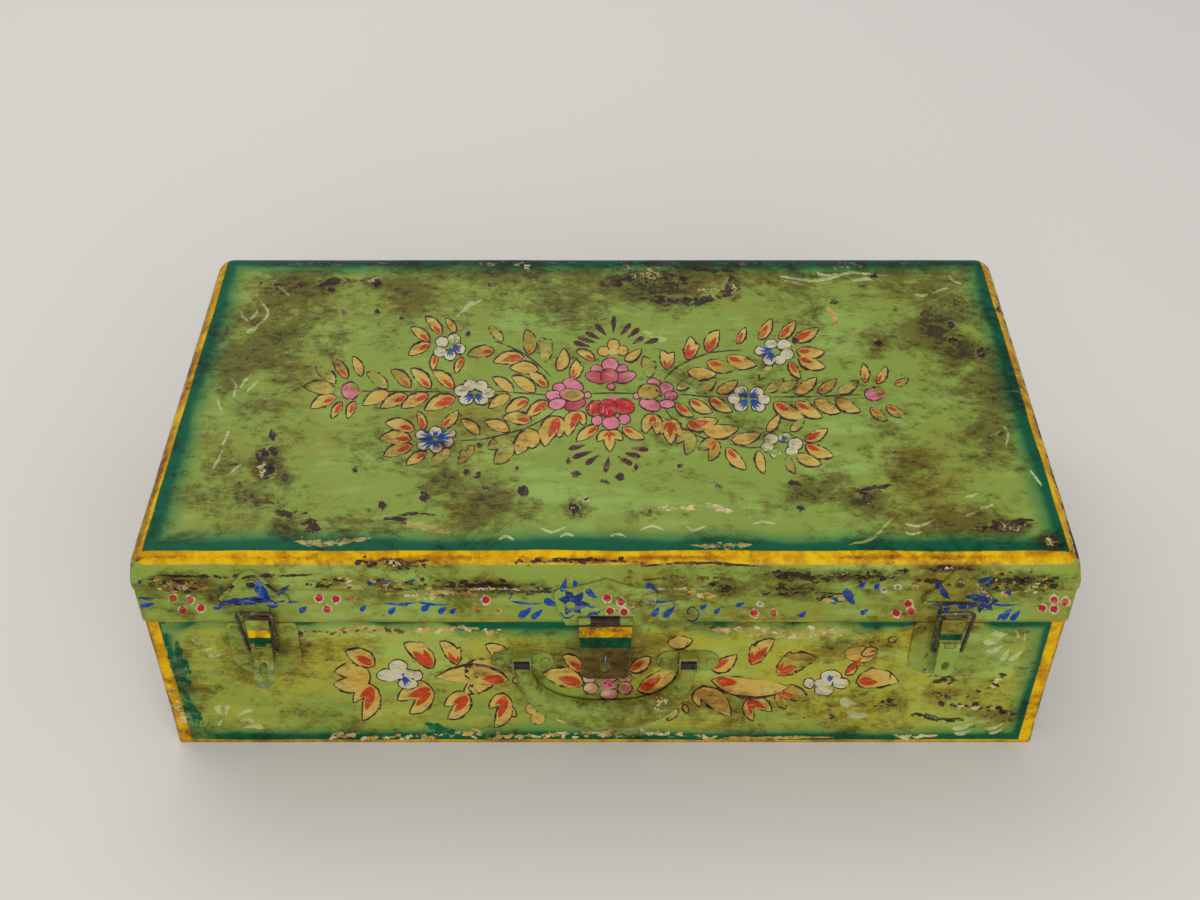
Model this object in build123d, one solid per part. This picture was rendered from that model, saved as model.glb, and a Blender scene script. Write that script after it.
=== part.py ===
from build123d import *
import os
from math import atan2, cos, radians, sin, tan

# A small tin trunk: a sheet-metal box with a hinged lid, two draw latches, a
# hasp and staple for a padlock, and a drop handle. The origin is the middle of
# the underside, +X runs to the right as seen from the front, +Y to the back.
# All sizes are in millimetres. "Out" is the distance in front of the base's
# front face, so a point at out = 5 lies at y = -base_depth / 2 - 5.

# ------------------------------------------------------------ base and lid
base_length = 600.0
base_depth = 330.0
joint_height = 128.0        # lower edge of the lid above the floor
rim_overlap = 14.0          # base wall standing up inside the lid
sheet = 0.8                 # tinplate
base_corner = 4.0           # outside radius of the upright corners
floor_flange = 10.0         # upturned edge of the floor, inside the wall
rim_flange = 4.0            # inward fold at the mouth
lid_gap = 0.7               # between base wall and lid skirt
seam_gap = 0.1              # between sheets that lie on each other
lid_height = 57.0           # from the joint up to the top
top_pan_height = 26.0       # the pressed top, down to its lapped edge
lap = 4.0                   # how far the pressed top laps over the skirt
top_inset = 2.6             # how far the top leans in above the lap
top_corner = 15.0           # corner radius of the top, seen from above
edge_roll = 14.0            # rounding between the top and its sides

# ---------------------------------------------------------------- fasteners
rivet_shank = 1.5
rivet_head = 3.2
rivet_head_height = 1.3
pin_clearance = 0.05        # radial, between a hinge pin and a turning knuckle
knuckle_gap = 0.3           # between neighbouring knuckles, along the pin

# --------------------------------------------------------------------- hasp
hasp_plate_width = 66.0     # across its shoulders
hasp_plate_foot = 51.0      # across its lower edge
hasp_plate_rise = 42.0      # peak above the joint
hasp_shoulder_rise = 27.0
hasp_brow_rise = 33.5       # where the bow meets the shoulders
hasp_brow_width = 56.0
hasp_plate_drop = 1.0       # below the joint
plate_sheet = 1.0           # all pressed plates of the fittings
hasp_barrel = 2.7           # outer radius of the knuckles
hasp_pin = 1.2
hasp_pivot_rise = 5.0       # barrel axis above the joint
strap_top_width = 35.0
strap_tip_width = 31.0
strap_length = 46.0         # from the barrel axis
strap_sheet = 1.4
strap_lean = 12.0           # degrees outward at rest, clear of the staple
strap_slot_start = 27.0     # from the barrel axis
strap_slot_length = 14.5
strap_slot_width = 6.0
hasp_knuckle = 8.0          # length of each outer knuckle
staple_wire = 1.4           # radius
staple_reach = 11.8         # nose of the staple in front of the base
staple_height = 11.5        # over the wire
staple_clinch = 5.0         # leg bent over inside the wall
staple_plate_width = 22.0
staple_plate_height = 34.0

# ------------------------------------------------------------------ latches
latch_inset = 76.0          # from each end of the base to the middle of its latch
keeper_width = 46.6
keeper_foot_rise = 19.5     # lower edge of the keeper's arch above the joint
keeper_rise = 48.5          # its apex above the joint
keeper_rim = 2.6            # width of the raised rim
keeper_rim_height = 1.1
keeper_rivet_rise = 38.2
keeper_neck = 16.7
lip_rise = 8.6              # root of the hook lip above the joint
lip_reach = 7.8             # lip edge in front of the base
lip_lift = 2.8              # how much the lip climbs outward
latch_plate_width = 46.0
latch_plate_top = 1.6       # below the joint
latch_plate_height = 50.0
latch_rivet_spacing = 35.6  # between the two upper rivets
latch_rivet_edge = 6.2      # from the plate's upper edge
latch_low_rivet_edge = 8.0  # from its lower edge
latch_plate_round = 17.0
tongue_top_width = 15.5
tongue_foot_width = 14.0
tongue_rise = 9.0           # its top edge above the joint
tongue_out = 7.5            # its back face in front of the base
lever_pivot_drop = 14.0     # hinge axis below the joint
lever_pivot_out = 9.0
lever_barrel = 1.9
lever_pin = 1.0
lever_width = 14.0
lever_length = 15.0         # from the hinge axis to the root of the tab
lever_flange = 5.3          # depth of its side flanges behind the axis
tab_length = 18.5
tab_width = 13.3
tab_slot_width = 4.4
tab_slot_length = 9.0
tab_flare = {"left": 46.0, "right": -6.0}    # degrees outward: bent by use
bail_wire = 1.3             # radius
bail_pivot_drop = 9.7       # below the lever's hinge axis
bail_pivot_inset = 3.3      # behind it
bail_head_width = 23.0      # wire centre to wire centre at the top
bail_foot_width = 19.4
bail_tip_inset = 0.4        # wire end inside the lever's flange
bail_rise = 18.0            # top bar above the joint
bail_head_out = 10.4        # top bar in front of the base
bail_bend = 3.6

# ------------------------------------------------------------------- handle
handle_span = 110.0         # between the middles of the two eyes
handle_pivot_height = 91.2
handle_pivot_out = 6.3
handle_drop = 51.3          # crescent's middle line below its two ends
handle_end_drop = 3.2       # ends of that line below the pivot
handle_roundness = 2.3      # exponent of the crescent's superellipse
handle_back_out = 2.6       # back of the grip in front of the base
grip_middle = 13.0          # half the grip's height in the middle
grip_end = 5.2              # and at its ends
grip_bulge = 0.88           # bulge as a share of the half height
grip_sheet = 1.2
eye_radius = 3.4
handle_pin = 1.6
eye_side_gap = 0.4          # between eye and bracket ear
neck_width = 9.0
neck_length = 9.5
bracket_width = 41.6
bracket_height = 20.0
bracket_rivet_inset = 5.6   # from the plate's end
hood_width = 12.6
hood_reach = 10.0
hood_depth = 13.6           # height of the ears
bracket_top_rise = 7.4      # plate's top edge above the pivot

# -------------------------------------------------------------- rear hinges
hinge_inset = 100.0         # from each end of the base to the middle of its hinge
hinge_width = 42.0
hinge_leaf_height = 22.0    # of the lower leaf
hinge_sheet = 1.2
hinge_barrel = 2.6
hinge_pin = 1.25
hinge_pivot_drop = 1.0      # below the joint
hinge_rivet_inset = 7.0     # from the leaf's end
hinge_rivet_edge = 5.0      # from the leaf's long edge

# ------------------------------------------------------------ worked out
rim_z = joint_height + rim_overlap
lid_top_z = joint_height + lid_height
pan_edge_z = lid_top_z - top_pan_height
skirt_top_z = pan_edge_z + lap
skirt_out = lid_gap + sheet                 # skirt's outside before the base
pan_out = skirt_out + seam_gap + sheet      # outside of the pressed top
plate_out = pan_out + seam_gap              # back of the plates on the lid
lid_lean = atan2(top_inset, lid_top_z - skirt_top_z)
reach = 30.0                                # cutting depth to either side


def front(out):
    """y of a point that far in front of the base's front face."""
    return -base_depth / 2 - out


def rounded_prism(grow, bottom, top):
    """A block with the base's plan, grown by grow on each side."""
    plan = RectangleRounded(base_length + 2 * grow, base_depth + 2 * grow, base_corner + grow)
    return extrude(Plane.XY.offset(bottom) * plan, top - bottom)


def top_block(grow, bottom):
    """The pressed top as a full block, its outside grown by grow."""
    climb = (lid_top_z + grow - skirt_top_z) * tan(lid_lean)
    low = RectangleRounded(
        base_length + 2 * (pan_out + grow),
        base_depth + 2 * (pan_out + grow),
        base_corner + pan_out + grow,
    )
    high = RectangleRounded(
        base_length + 2 * (pan_out + grow - climb),
        base_depth + 2 * (pan_out + grow - climb),
        top_corner + grow,
    )
    slope = loft(
        [
            Plane.XY.offset(skirt_top_z) * low,
            Plane.XY.offset(lid_top_z + grow) * high,
        ],
        ruled=True,
    )
    crown = slope.faces().sort_by(Axis.Z)[-1]
    slope = fillet(crown.edges(), edge_roll + grow)
    return slope + extrude(Plane.XY.offset(bottom) * low, skirt_top_z - bottom)


def front_prism(outline, out_from, out_to):
    """An outline in (x, z), extruded forward between two distances."""
    plane = Plane(origin=(0, front(out_from), 0), x_dir=(1, 0, 0), z_dir=(0, -1, 0))
    return extrude(plane * outline, out_to - out_from)


def side_prism(profile, x, width):
    """A profile in (out, z), extruded to both sides of x."""
    plane = Plane(origin=(x, front(0), 0), x_dir=(0, -1, 0), z_dir=(-1, 0, 0))
    return extrude(plane * profile, width / 2, both=True)


def rod_x(x, out, z, radius, width):
    """A round bar across the trunk."""
    return side_prism(Pos(out, z) * Circle(radius), x, width)


def bar(x, width, out_from, out_to, z_from, z_to):
    """A plain rectangular bar, placed by its faces."""
    size = (width, out_to - out_from, z_to - z_from)
    middle = (x, front((out_from + out_to) / 2), (z_from + z_to) / 2)
    return Pos(*middle) * Box(*size)


def rivet(seat, grip):
    """A domed rivet: its head stands on the seat plane, its shank runs back by grip."""
    head = Pos(0, 0, rivet_head_height / 2) * Cylinder(rivet_head, rivet_head_height)
    head = fillet(head.edges().sort_by(Axis.Z)[-1], rivet_head_height * 0.7)
    tail = rivet_head_height * 0.6
    shank = Pos(0, 0, -grip / 2) * Cylinder(rivet_shank, grip)
    back = Pos(0, 0, -grip - tail / 2) * Cylinder(rivet_head * 0.8, tail)
    return seat * (head + shank + back)


def front_rivet_holes(places):
    """Cutters for rivets on the front, from (x, z) places."""
    return [front_prism(Pos(x, z) * Circle(rivet_shank), -reach, reach) for x, z in places]


def cut_all(solid, cutters):
    for cutter in cutters:
        solid = solid - cutter
    return solid


# ================================================================ rivet places
hasp_rivets = [
    (-hasp_plate_width * 0.34, joint_height + hasp_plate_rise * 0.45),
    (hasp_plate_width * 0.34, joint_height + hasp_plate_rise * 0.45),
]
staple_z = joint_height + hasp_pivot_rise - strap_slot_start - strap_slot_length / 2
staple_rivets = [
    (0, staple_z + staple_plate_height / 2 - rivet_head - 1),
    (0, staple_z - staple_plate_height / 2 + rivet_head + 1),
]
latch_x = {"left": latch_inset - base_length / 2, "right": base_length / 2 - latch_inset}
handle_x = {"left": -handle_span / 2, "right": handle_span / 2}
latch_plate_top_z = joint_height - latch_plate_top
latch_plate_low_z = latch_plate_top_z - latch_plate_height


def latch_rivets(side):
    x = latch_x[side]
    upper = latch_plate_top_z - latch_rivet_edge
    lower = latch_plate_low_z + latch_low_rivet_edge
    half = latch_rivet_spacing / 2
    return [(x - half, upper), (x + half, upper), (x, lower)]


bracket_top_z = handle_pivot_height + bracket_top_rise
bracket_middle_z = bracket_top_z - bracket_height / 2


def bracket_rivets(side):
    x = handle_x[side]
    half = bracket_width / 2 - bracket_rivet_inset
    return [(x - half, bracket_middle_z), (x + half, bracket_middle_z)]


def keeper_rivet_seat(side):
    """Where the keeper's rivet sits: it stands square to the leaning front."""
    z = joint_height + keeper_rivet_rise
    seat = plate_out + plate_sheet - (z - skirt_top_z) * tan(lid_lean)
    return Plane(
        origin=(latch_x[side], front(seat), z),
        x_dir=(1, 0, 0),
        z_dir=(0, -cos(lid_lean), sin(lid_lean)),
    )


def keeper_rivet_hole(side):
    return extrude(keeper_rivet_seat(side) * Circle(rivet_shank), reach, both=True)


hinge_x = {"left": hinge_inset - base_length / 2, "right": base_length / 2 - hinge_inset}
hinge_pivot_z = joint_height - hinge_pivot_drop
hinge_pivot_y = base_depth / 2 + skirt_out + hinge_barrel + 0.1


def hinge_rivets(side, z):
    x = hinge_x[side]
    half = hinge_width / 2 - hinge_rivet_inset
    return [(x - half, z), (x + half, z)]


hinge_lid_rivet_z = rim_z + rivet_head + 1.0
hinge_lid_leaf_top = hinge_lid_rivet_z + hinge_rivet_edge
hinge_base_rivet_z = hinge_pivot_z - hinge_leaf_height + hinge_rivet_edge


def back_holes(z):
    """Cutters for the hinge rivets in the back, at one height."""
    back = Plane(origin=(0, base_depth / 2 - reach, 0), x_dir=(-1, 0, 0), z_dir=(0, 1, 0))
    places = hinge_rivets("left", z) + hinge_rivets("right", z)
    return [extrude(back * Pos(-x, z) * Circle(rivet_shank), 2 * reach) for x, z in places]


# ======================================================================== base
def make_base_wall():
    """Four walls from one band, with an inward fold at the mouth."""
    band = rounded_prism(0, 0, rim_z) - rounded_prism(-sheet, -1, rim_z - sheet)
    mouth = RectangleRounded(
        base_length - 2 * (sheet + rim_flange),
        base_depth - 2 * (sheet + rim_flange),
        base_corner,
    )
    band = band - extrude(Plane.XY.offset(rim_z - 2 * sheet) * mouth, 3 * sheet)
    places = staple_rivets + bracket_rivets("left") + bracket_rivets("right")
    places += latch_rivets("left") + latch_rivets("right")
    band = cut_all(band, front_rivet_holes(places))
    band = cut_all(band, back_holes(hinge_base_rivet_z))
    leg = staple_height / 2 - staple_wire
    for z in (staple_z - leg, staple_z + leg):
        band = band - front_prism(Pos(0, z) * Circle(staple_wire), -reach, 1)
    return band


def make_base_floor():
    """The floor, a shallow tray set inside the wall."""
    grow = -sheet - seam_gap
    tray = rounded_prism(grow, 0, floor_flange)
    return tray - rounded_prism(grow - sheet, sheet, floor_flange + 1)


# ========================================================================= lid
def make_lid_skirt():
    """The band that hangs round the base's mouth."""
    skirt = rounded_prism(skirt_out, joint_height, skirt_top_z)
    skirt = skirt - rounded_prism(lid_gap, joint_height - 1, skirt_top_z + 1)
    skirt = cut_all(skirt, front_rivet_holes(hasp_rivets))
    return cut_all(skirt, back_holes(hinge_lid_rivet_z))


def make_lid_top():
    """The pressed top with rolled edges, lapped over the skirt."""
    top = top_block(0, pan_edge_z) - top_block(-sheet, pan_edge_z - 1)
    return cut_all(top, [keeper_rivet_hole("left"), keeper_rivet_hole("right")])


def lid_front(x, grow):
    """The lid's front as a block on both sides of x, its outside grown by grow."""
    low = joint_height - reach
    top = lid_top_z + grow
    climb = (top - skirt_top_z) * tan(lid_lean)
    profile = Polygon(
        (-reach, low),
        (pan_out + grow, low),
        (pan_out + grow, skirt_top_z),
        (pan_out + grow - climb, top),
        (-reach, top),
        align=None,
    )
    crown = profile.vertices().group_by(Axis.Y)[-1].sort_by(Axis.X)[-1]
    return side_prism(fillet(crown, edge_roll + grow), x, 2 * hasp_plate_width)


def lid_sheet(outline, x, inner, outer):
    """A plate that follows the lid's front, with this (x, z) outline."""
    prism = front_prism(outline, -reach, reach)
    stand_off = plate_out - pan_out
    return (prism & lid_front(x, stand_off + outer)) - lid_front(x, stand_off + inner)


# ======================================================================== hasp
def hasp_outline():
    """A plate with a shouldered, bow-shaped upper edge."""
    half = hasp_plate_width / 2
    foot = (hasp_plate_foot / 2, joint_height - hasp_plate_drop)
    shoulder = (half, joint_height + hasp_shoulder_rise)
    brow = (hasp_brow_width / 2, joint_height + hasp_brow_rise)
    peak = (0, joint_height + hasp_plate_rise)
    flank_bow = (half * 0.955, joint_height + hasp_shoulder_rise * 0.63)
    shoulder_bow = (half * 0.965, (shoulder[1] + brow[1]) / 2 + 0.9)
    brow_sag = (brow[0] / 2, (brow[1] + peak[1]) / 2 - 1.2)
    right = [
        ThreePointArc(foot, flank_bow, shoulder),
        ThreePointArc(shoulder, shoulder_bow, brow),
        ThreePointArc(brow, brow_sag, peak),
    ]
    left = [mirror(edge, about=Plane.YZ) for edge in right]
    base = Line((-foot[0], foot[1]), foot)
    return make_face(right + left + [base])


hasp_axis_z = joint_height + hasp_pivot_rise
hasp_axis_out = plate_out + hasp_barrel
hasp_knuckle_x = (strap_top_width - hasp_knuckle) / 2


def make_hasp_plate():
    """The plate on the lid, with the two outer knuckles of its hinge."""
    plate = lid_sheet(hasp_outline(), 0, 0, plate_sheet)
    plate = cut_all(plate, front_rivet_holes(hasp_rivets))
    middle = strap_top_width - 2 * hasp_knuckle
    window = Pos(0, hasp_axis_z) * Rectangle(middle, 2 * hasp_barrel + 2 * knuckle_gap)
    plate = plate - front_prism(window, -reach, reach)
    for x in (-hasp_knuckle_x, hasp_knuckle_x):
        plate = plate + rod_x(x, hasp_axis_out, hasp_axis_z, hasp_barrel, hasp_knuckle)
    return plate - rod_x(0, hasp_axis_out, hasp_axis_z, hasp_pin, base_length)


def strap_plane():
    """Local x to the right, local y down the strap, z out of its face."""
    lean = radians(strap_lean)
    return Plane(
        origin=(0, front(hasp_axis_out), hasp_axis_z),
        x_dir=(1, 0, 0),
        z_dir=(0, -cos(lean), sin(lean)),
    )


def make_hasp_strap():
    """The hinged strap: it closes over the staple."""
    top = strap_top_width / 2
    tip = strap_tip_width / 2
    outline = Polygon(
        (-top, 0), (top, 0), (tip, -strap_length), (-tip, -strap_length), align=None
    )
    outline = fillet(outline.vertices().sort_by(Axis.Y)[:2], strap_tip_width * 0.16)
    slot_middle = -strap_slot_start - strap_slot_length / 2
    slot = Pos(0, slot_middle) * Rot(0, 0, 90) * SlotOverall(strap_slot_length, strap_slot_width)
    plane = strap_plane()
    face = plane.offset(hasp_barrel - strap_sheet)
    strap = extrude(face * (outline - slot), strap_sheet)
    for x in (-hasp_knuckle_x, hasp_knuckle_x):
        room = hasp_knuckle + 2 * knuckle_gap
        strap = strap - rod_x(x, hasp_axis_out, hasp_axis_z, hasp_barrel + knuckle_gap, room)
    knuckle = strap_top_width - 2 * hasp_knuckle - 2 * knuckle_gap
    strap = strap + rod_x(0, hasp_axis_out, hasp_axis_z, hasp_barrel, knuckle)
    bore = hasp_pin + pin_clearance
    return strap - rod_x(0, hasp_axis_out, hasp_axis_z, bore, base_length)


def make_hasp_pin():
    return rod_x(0, hasp_axis_out, hasp_axis_z, hasp_pin, strap_top_width)


def make_staple():
    """A wire loop, upright, its two legs clinched inside the wall."""
    leg = staple_height / 2 - staple_wire
    inside = -sheet - staple_wire - seam_gap
    nose = staple_reach - staple_wire
    points = [
        (inside, staple_z + leg + staple_clinch),
        (inside, staple_z + leg),
        (nose, staple_z + leg),
        (nose, staple_z - leg),
        (inside, staple_z - leg),
        (inside, staple_z - leg - staple_clinch),
    ]
    plane = Plane(origin=(0, front(0), 0), x_dir=(0, -1, 0), z_dir=(-1, 0, 0))
    bend = staple_wire * 1.2
    path = plane * FilletPolyline(*points, radius=[bend, leg * 0.97, leg * 0.97, bend])
    start = Plane(origin=path @ 0, z_dir=path % 0)
    return sweep(start * Circle(staple_wire), path=path)


def make_staple_plate():
    outline = Pos(0, staple_z) * RectangleRounded(staple_plate_width, staple_plate_height, 5)
    plate = front_prism(outline, 0, plate_sheet)
    plate = cut_all(plate, front_rivet_holes(staple_rivets))
    leg = staple_height / 2 - staple_wire
    for z in (staple_z - leg, staple_z + leg):
        plate = plate - front_prism(Pos(0, z) * Circle(staple_wire), -1, reach)
    return plate


# ===================================================================== latches
lip_root_z = joint_height + lip_rise
lever_axis_z = joint_height - lever_pivot_drop
tongue_top_z = joint_height + tongue_rise
tongue_foot_z = lever_axis_z + lever_barrel
bail_axis_z = lever_axis_z - bail_pivot_drop
bail_axis_out = lever_pivot_out - bail_pivot_inset
lever_middle_knuckle = lever_width * 0.47


def keeper_outline(x, inset):
    """A triangle with rounded corners, standing on its long side."""
    half = keeper_width / 2
    foot = joint_height + keeper_foot_rise
    apex = joint_height + keeper_rise
    triangle = Polygon((x - half - 4, foot), (x + half + 4, foot), (x, apex + 5), align=None)
    corners = triangle.vertices().sort_by(Axis.Y)
    shape = fillet(corners[:2], 4.5)
    shape = fillet(shape.vertices().sort_by(Axis.Y)[-1], 9)
    if inset:
        shape = offset(shape, -inset)
    return shape


def make_keeper(side):
    """The catch on the lid: an arched plate with a hook lip at its foot."""
    x = latch_x[side]
    neck_top = joint_height + keeper_foot_rise + 2
    neck = Pos(x, (lip_root_z + neck_top) / 2) * Rectangle(keeper_neck, neck_top - lip_root_z)
    outline = keeper_outline(x, 0)
    plate = lid_sheet(outline + neck, x, 0, plate_sheet)
    band = outline - keeper_outline(x, keeper_rim)
    rim = lid_sheet(band, x, plate_sheet / 2, plate_sheet + keeper_rim_height)
    plate = plate + rim
    lip = Polygon(
        (plate_out, lip_root_z),
        (plate_out + plate_sheet, lip_root_z - 0.3),
        (lip_reach, lip_root_z + lip_lift - plate_sheet),
        (lip_reach, lip_root_z + lip_lift),
        (plate_out + plate_sheet, lip_root_z + plate_sheet),
        (plate_out, lip_root_z + plate_sheet),
        align=None,
    )
    plate = plate + side_prism(lip, x, keeper_neck)
    return plate - keeper_rivet_hole(side)


def make_latch_plate(side):
    """The plate on the base, with the tongue that carries the lever's hinge."""
    x = latch_x[side]
    middle_z = (latch_plate_top_z + latch_plate_low_z) / 2
    outline = Pos(x, middle_z) * Rectangle(latch_plate_width, latch_plate_height)
    outline = fillet(outline.vertices().sort_by(Axis.Y)[:2], latch_plate_round)
    outline = fillet(outline.vertices().sort_by(Axis.Y)[-2:], 3)
    plate = front_prism(outline, 0, plate_sheet)
    plate = cut_all(plate, front_rivet_holes(latch_rivets(side)))
    top, foot = tongue_top_width / 2, tongue_foot_width / 2
    tongue = Polygon(
        (x - foot, tongue_foot_z),
        (x + foot, tongue_foot_z),
        (x + top, tongue_top_z),
        (x - top, tongue_top_z),
        align=None,
    )
    tongue = fillet(tongue.vertices().sort_by(Axis.Y)[-2:], 1.5)
    plate = plate + front_prism(tongue, tongue_out, tongue_out + plate_sheet)
    for wall_x in (x - foot + plate_sheet / 2, x + foot - plate_sheet / 2):
        plate = plate + bar(
            wall_x,
            plate_sheet,
            plate_sheet / 2,
            tongue_out + plate_sheet / 2,
            tongue_foot_z,
            latch_plate_top_z,
        )
    barrel = rod_x(x, lever_pivot_out, lever_axis_z, lever_barrel, lever_middle_knuckle)
    root = bar(
        x,
        lever_middle_knuckle,
        tongue_out,
        tongue_out + plate_sheet,
        lever_axis_z,
        tongue_foot_z + plate_sheet,
    )
    plate = plate + root + barrel
    return plate - rod_x(x, lever_pivot_out, lever_axis_z, lever_pin, lever_width)


def make_lever(side):
    """The lever: a short channel on the hinge, with a bent thumb tab."""
    x = latch_x[side]
    foot_z = lever_axis_z - lever_length
    head_z = lever_axis_z - plate_sheet
    face = bar(x, lever_width, lever_pivot_out, lever_pivot_out + plate_sheet, foot_z, head_z)
    lever = face
    for sign in (-1, 1):
        wall_x = x + sign * (lever_width - plate_sheet) / 2
        flange = Polygon(
            (lever_pivot_out + plate_sheet / 2, foot_z),
            (lever_pivot_out + plate_sheet / 2, lever_axis_z - lever_barrel * 1.3),
            (lever_pivot_out - lever_flange, lever_axis_z - lever_barrel * 1.6),
            (lever_pivot_out - lever_flange, foot_z + 4),
            (lever_pivot_out - lever_flange * 0.5, foot_z),
            align=None,
        )
        lever = lever + side_prism(flange, wall_x, plate_sheet)
        knuckle_width = (lever_width - lever_middle_knuckle) / 2 - knuckle_gap
        knuckle_x = x + sign * (lever_width - knuckle_width) / 2
        lever = lever + rod_x(knuckle_x, lever_pivot_out, lever_axis_z, lever_barrel, knuckle_width)
    notch = bar(
        x,
        lever_middle_knuckle + 2 * knuckle_gap,
        lever_pivot_out - lever_flange - 1,
        lever_pivot_out + 2 * lever_barrel,
        lever_axis_z - lever_barrel - knuckle_gap,
        lever_axis_z + 2 * lever_barrel,
    )
    lever = lever - notch
    lever = lever + make_tab(side, foot_z)
    lever = lever - rod_x(x, lever_pivot_out, lever_axis_z, lever_pin + pin_clearance, 2 * lever_width)
    hole = bail_wire + pin_clearance
    return lever - rod_x(x, bail_axis_out, bail_axis_z, hole, 2 * lever_width)


def make_tab(side, root_z):
    """The rounded, slotted thumb tab, bent out or in by its flare."""
    flare = radians(tab_flare[side])
    plane = Plane(
        origin=(latch_x[side], front(lever_pivot_out + plate_sheet / 2), root_z + plate_sheet / 2),
        x_dir=(1, 0, 0),
        z_dir=(0, -cos(flare), sin(flare)),
    )
    shape = Pos(0, -tab_length / 2) * Rectangle(tab_width, tab_length)
    shape = fillet(shape.vertices().sort_by(Axis.Y)[:2], tab_width * 0.49)
    slot_middle = -tab_slot_length / 2 - 1.5
    slot = Pos(0, slot_middle) * Rot(0, 0, 90) * SlotOverall(tab_slot_length, tab_slot_width)
    return extrude(plane * (shape - slot), plate_sheet / 2, both=True)


def make_bail(side):
    """The wire bail: hung in the lever, its top bar reaches for the keeper."""
    rise = joint_height + bail_rise - bail_axis_z
    lean = atan2(bail_head_out - bail_axis_out, rise)
    length = rise / cos(lean)
    plane = Plane(
        origin=(latch_x[side], front(bail_axis_out), bail_axis_z),
        x_dir=(1, 0, 0),
        z_dir=(0, -cos(lean), -sin(lean)),
    )
    tip = lever_width / 2 - plate_sheet - bail_tip_inset
    foot = bail_foot_width / 2
    head = bail_head_width / 2
    points = [(-tip, 0), (-foot, 0), (-head, length), (head, length), (foot, 0), (tip, 0)]
    bends = [bail_wire * 1.3, bail_bend, bail_bend, bail_wire * 1.3]
    path = plane * FilletPolyline(*points, radius=bends)
    start = Plane(origin=path @ 0, z_dir=path % 0)
    return sweep(start * Circle(bail_wire), path=path)


def make_lever_pin(side):
    return rod_x(latch_x[side], lever_pivot_out, lever_axis_z, lever_pin, lever_width)


# ====================================================================== handle
handle_end_z = handle_pivot_height - handle_end_drop


def grip_section(turn):
    """The grip's hollow, half-round section at one place along the crescent."""
    power = 2 / handle_roundness
    across = abs(cos(radians(turn))) ** power
    down = abs(sin(radians(turn))) ** power
    side = 1 if turn < 90 else -1
    x = side * handle_span / 2 * across
    z = handle_end_z - handle_drop * down
    normal_x = side * across ** (handle_roundness - 1) / (handle_span / 2)
    normal_z = -(down ** (handle_roundness - 1)) / handle_drop
    half = grip_end + (grip_middle - grip_end) * sin(radians(turn)) ** 1.5
    bulge = half * grip_bulge
    plane = Plane(
        origin=(x, front(handle_back_out), z),
        x_dir=(normal_x, 0, normal_z),
        z_dir=(normal_z, 0, -normal_x),
    )
    outer = EllipticalCenterArc((0, 0), half, bulge, 0, arc_size=180)
    inner = EllipticalCenterArc((0, 0), half - grip_sheet, bulge - grip_sheet, 0, arc_size=180)
    edges = [outer, Line(outer @ 1, inner @ 1), inner, Line(inner @ 0, outer @ 0)]
    return plane * make_face(edges)


def make_handle_grip():
    """The pressed crescent grip with an eye at each end."""
    turns = [0, 14, 30, 48, 69, 90, 111, 132, 150, 166, 180]
    grip = loft([grip_section(turn) for turn in turns])
    eye_width = hood_width - 2 * plate_sheet - 2 * eye_side_gap
    for x in handle_x.values():
        neck_low = handle_pivot_height - neck_length
        neck_back = handle_back_out + grip_sheet / 2
        neck_front = handle_back_out + grip_end * grip_bulge - grip_sheet / 2
        grip = grip + bar(x, neck_width, neck_back, neck_front, neck_low, handle_pivot_height)
        grip = grip + rod_x(x, handle_pivot_out, handle_pivot_height, eye_radius, eye_width)
    bore = handle_pin + pin_clearance
    return grip - rod_x(0, handle_pivot_out, handle_pivot_height, bore, base_length)


def make_bracket(side):
    """A riveted plate with a hooded clevis for the handle's eye."""
    x = handle_x[side]
    outline = Pos(x, bracket_middle_z) * SlotOverall(bracket_width, bracket_height)
    plate = front_prism(outline, 0, plate_sheet)
    plate = cut_all(plate, front_rivet_holes(bracket_rivets(side)))
    ear = Polygon(
        (plate_sheet / 2, bracket_top_z),
        (hood_reach, bracket_top_z),
        (hood_reach, bracket_top_z - hood_depth),
        (plate_sheet / 2, bracket_top_z - hood_depth),
        align=None,
    )
    ear = fillet(ear.vertices().group_by(Axis.X)[-1], 3)
    hood = side_prism(ear, x, hood_width)
    room = bar(
        x,
        hood_width - 2 * plate_sheet,
        plate_sheet,
        hood_reach + 1,
        bracket_top_z - hood_depth - 1,
        bracket_top_z - plate_sheet,
    )
    plate = plate + (hood - room)
    return plate - rod_x(x, handle_pivot_out, handle_pivot_height, handle_pin, hood_width + 2)


def make_handle_pin(side):
    """A headed pin through the bracket's ears and the handle's eye."""
    x = handle_x[side]
    pin = rod_x(x, handle_pivot_out, handle_pivot_height, handle_pin, hood_width)
    head = 0.8
    for sign in (-1, 1):
        head_x = x + sign * (hood_width + head) / 2
        pin = pin + rod_x(head_x, handle_pivot_out, handle_pivot_height, handle_pin * 1.5, head)
    return pin


# ================================================================= rear hinges
def back_bar(x, width, y_from, y_to, z_from, z_to):
    middle = (x, (y_from + y_to) / 2, (z_from + z_to) / 2)
    return Pos(*middle) * Box(width, y_to - y_from, z_to - z_from)


def back_rod(x, radius, width):
    plane = Plane(origin=(x, hinge_pivot_y, hinge_pivot_z), x_dir=(0, 1, 0), z_dir=(1, 0, 0))
    return extrude(plane * Circle(radius), width / 2, both=True)


hinge_middle = hinge_width / 3
hinge_outer = (hinge_width - hinge_middle) / 2 - knuckle_gap


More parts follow.
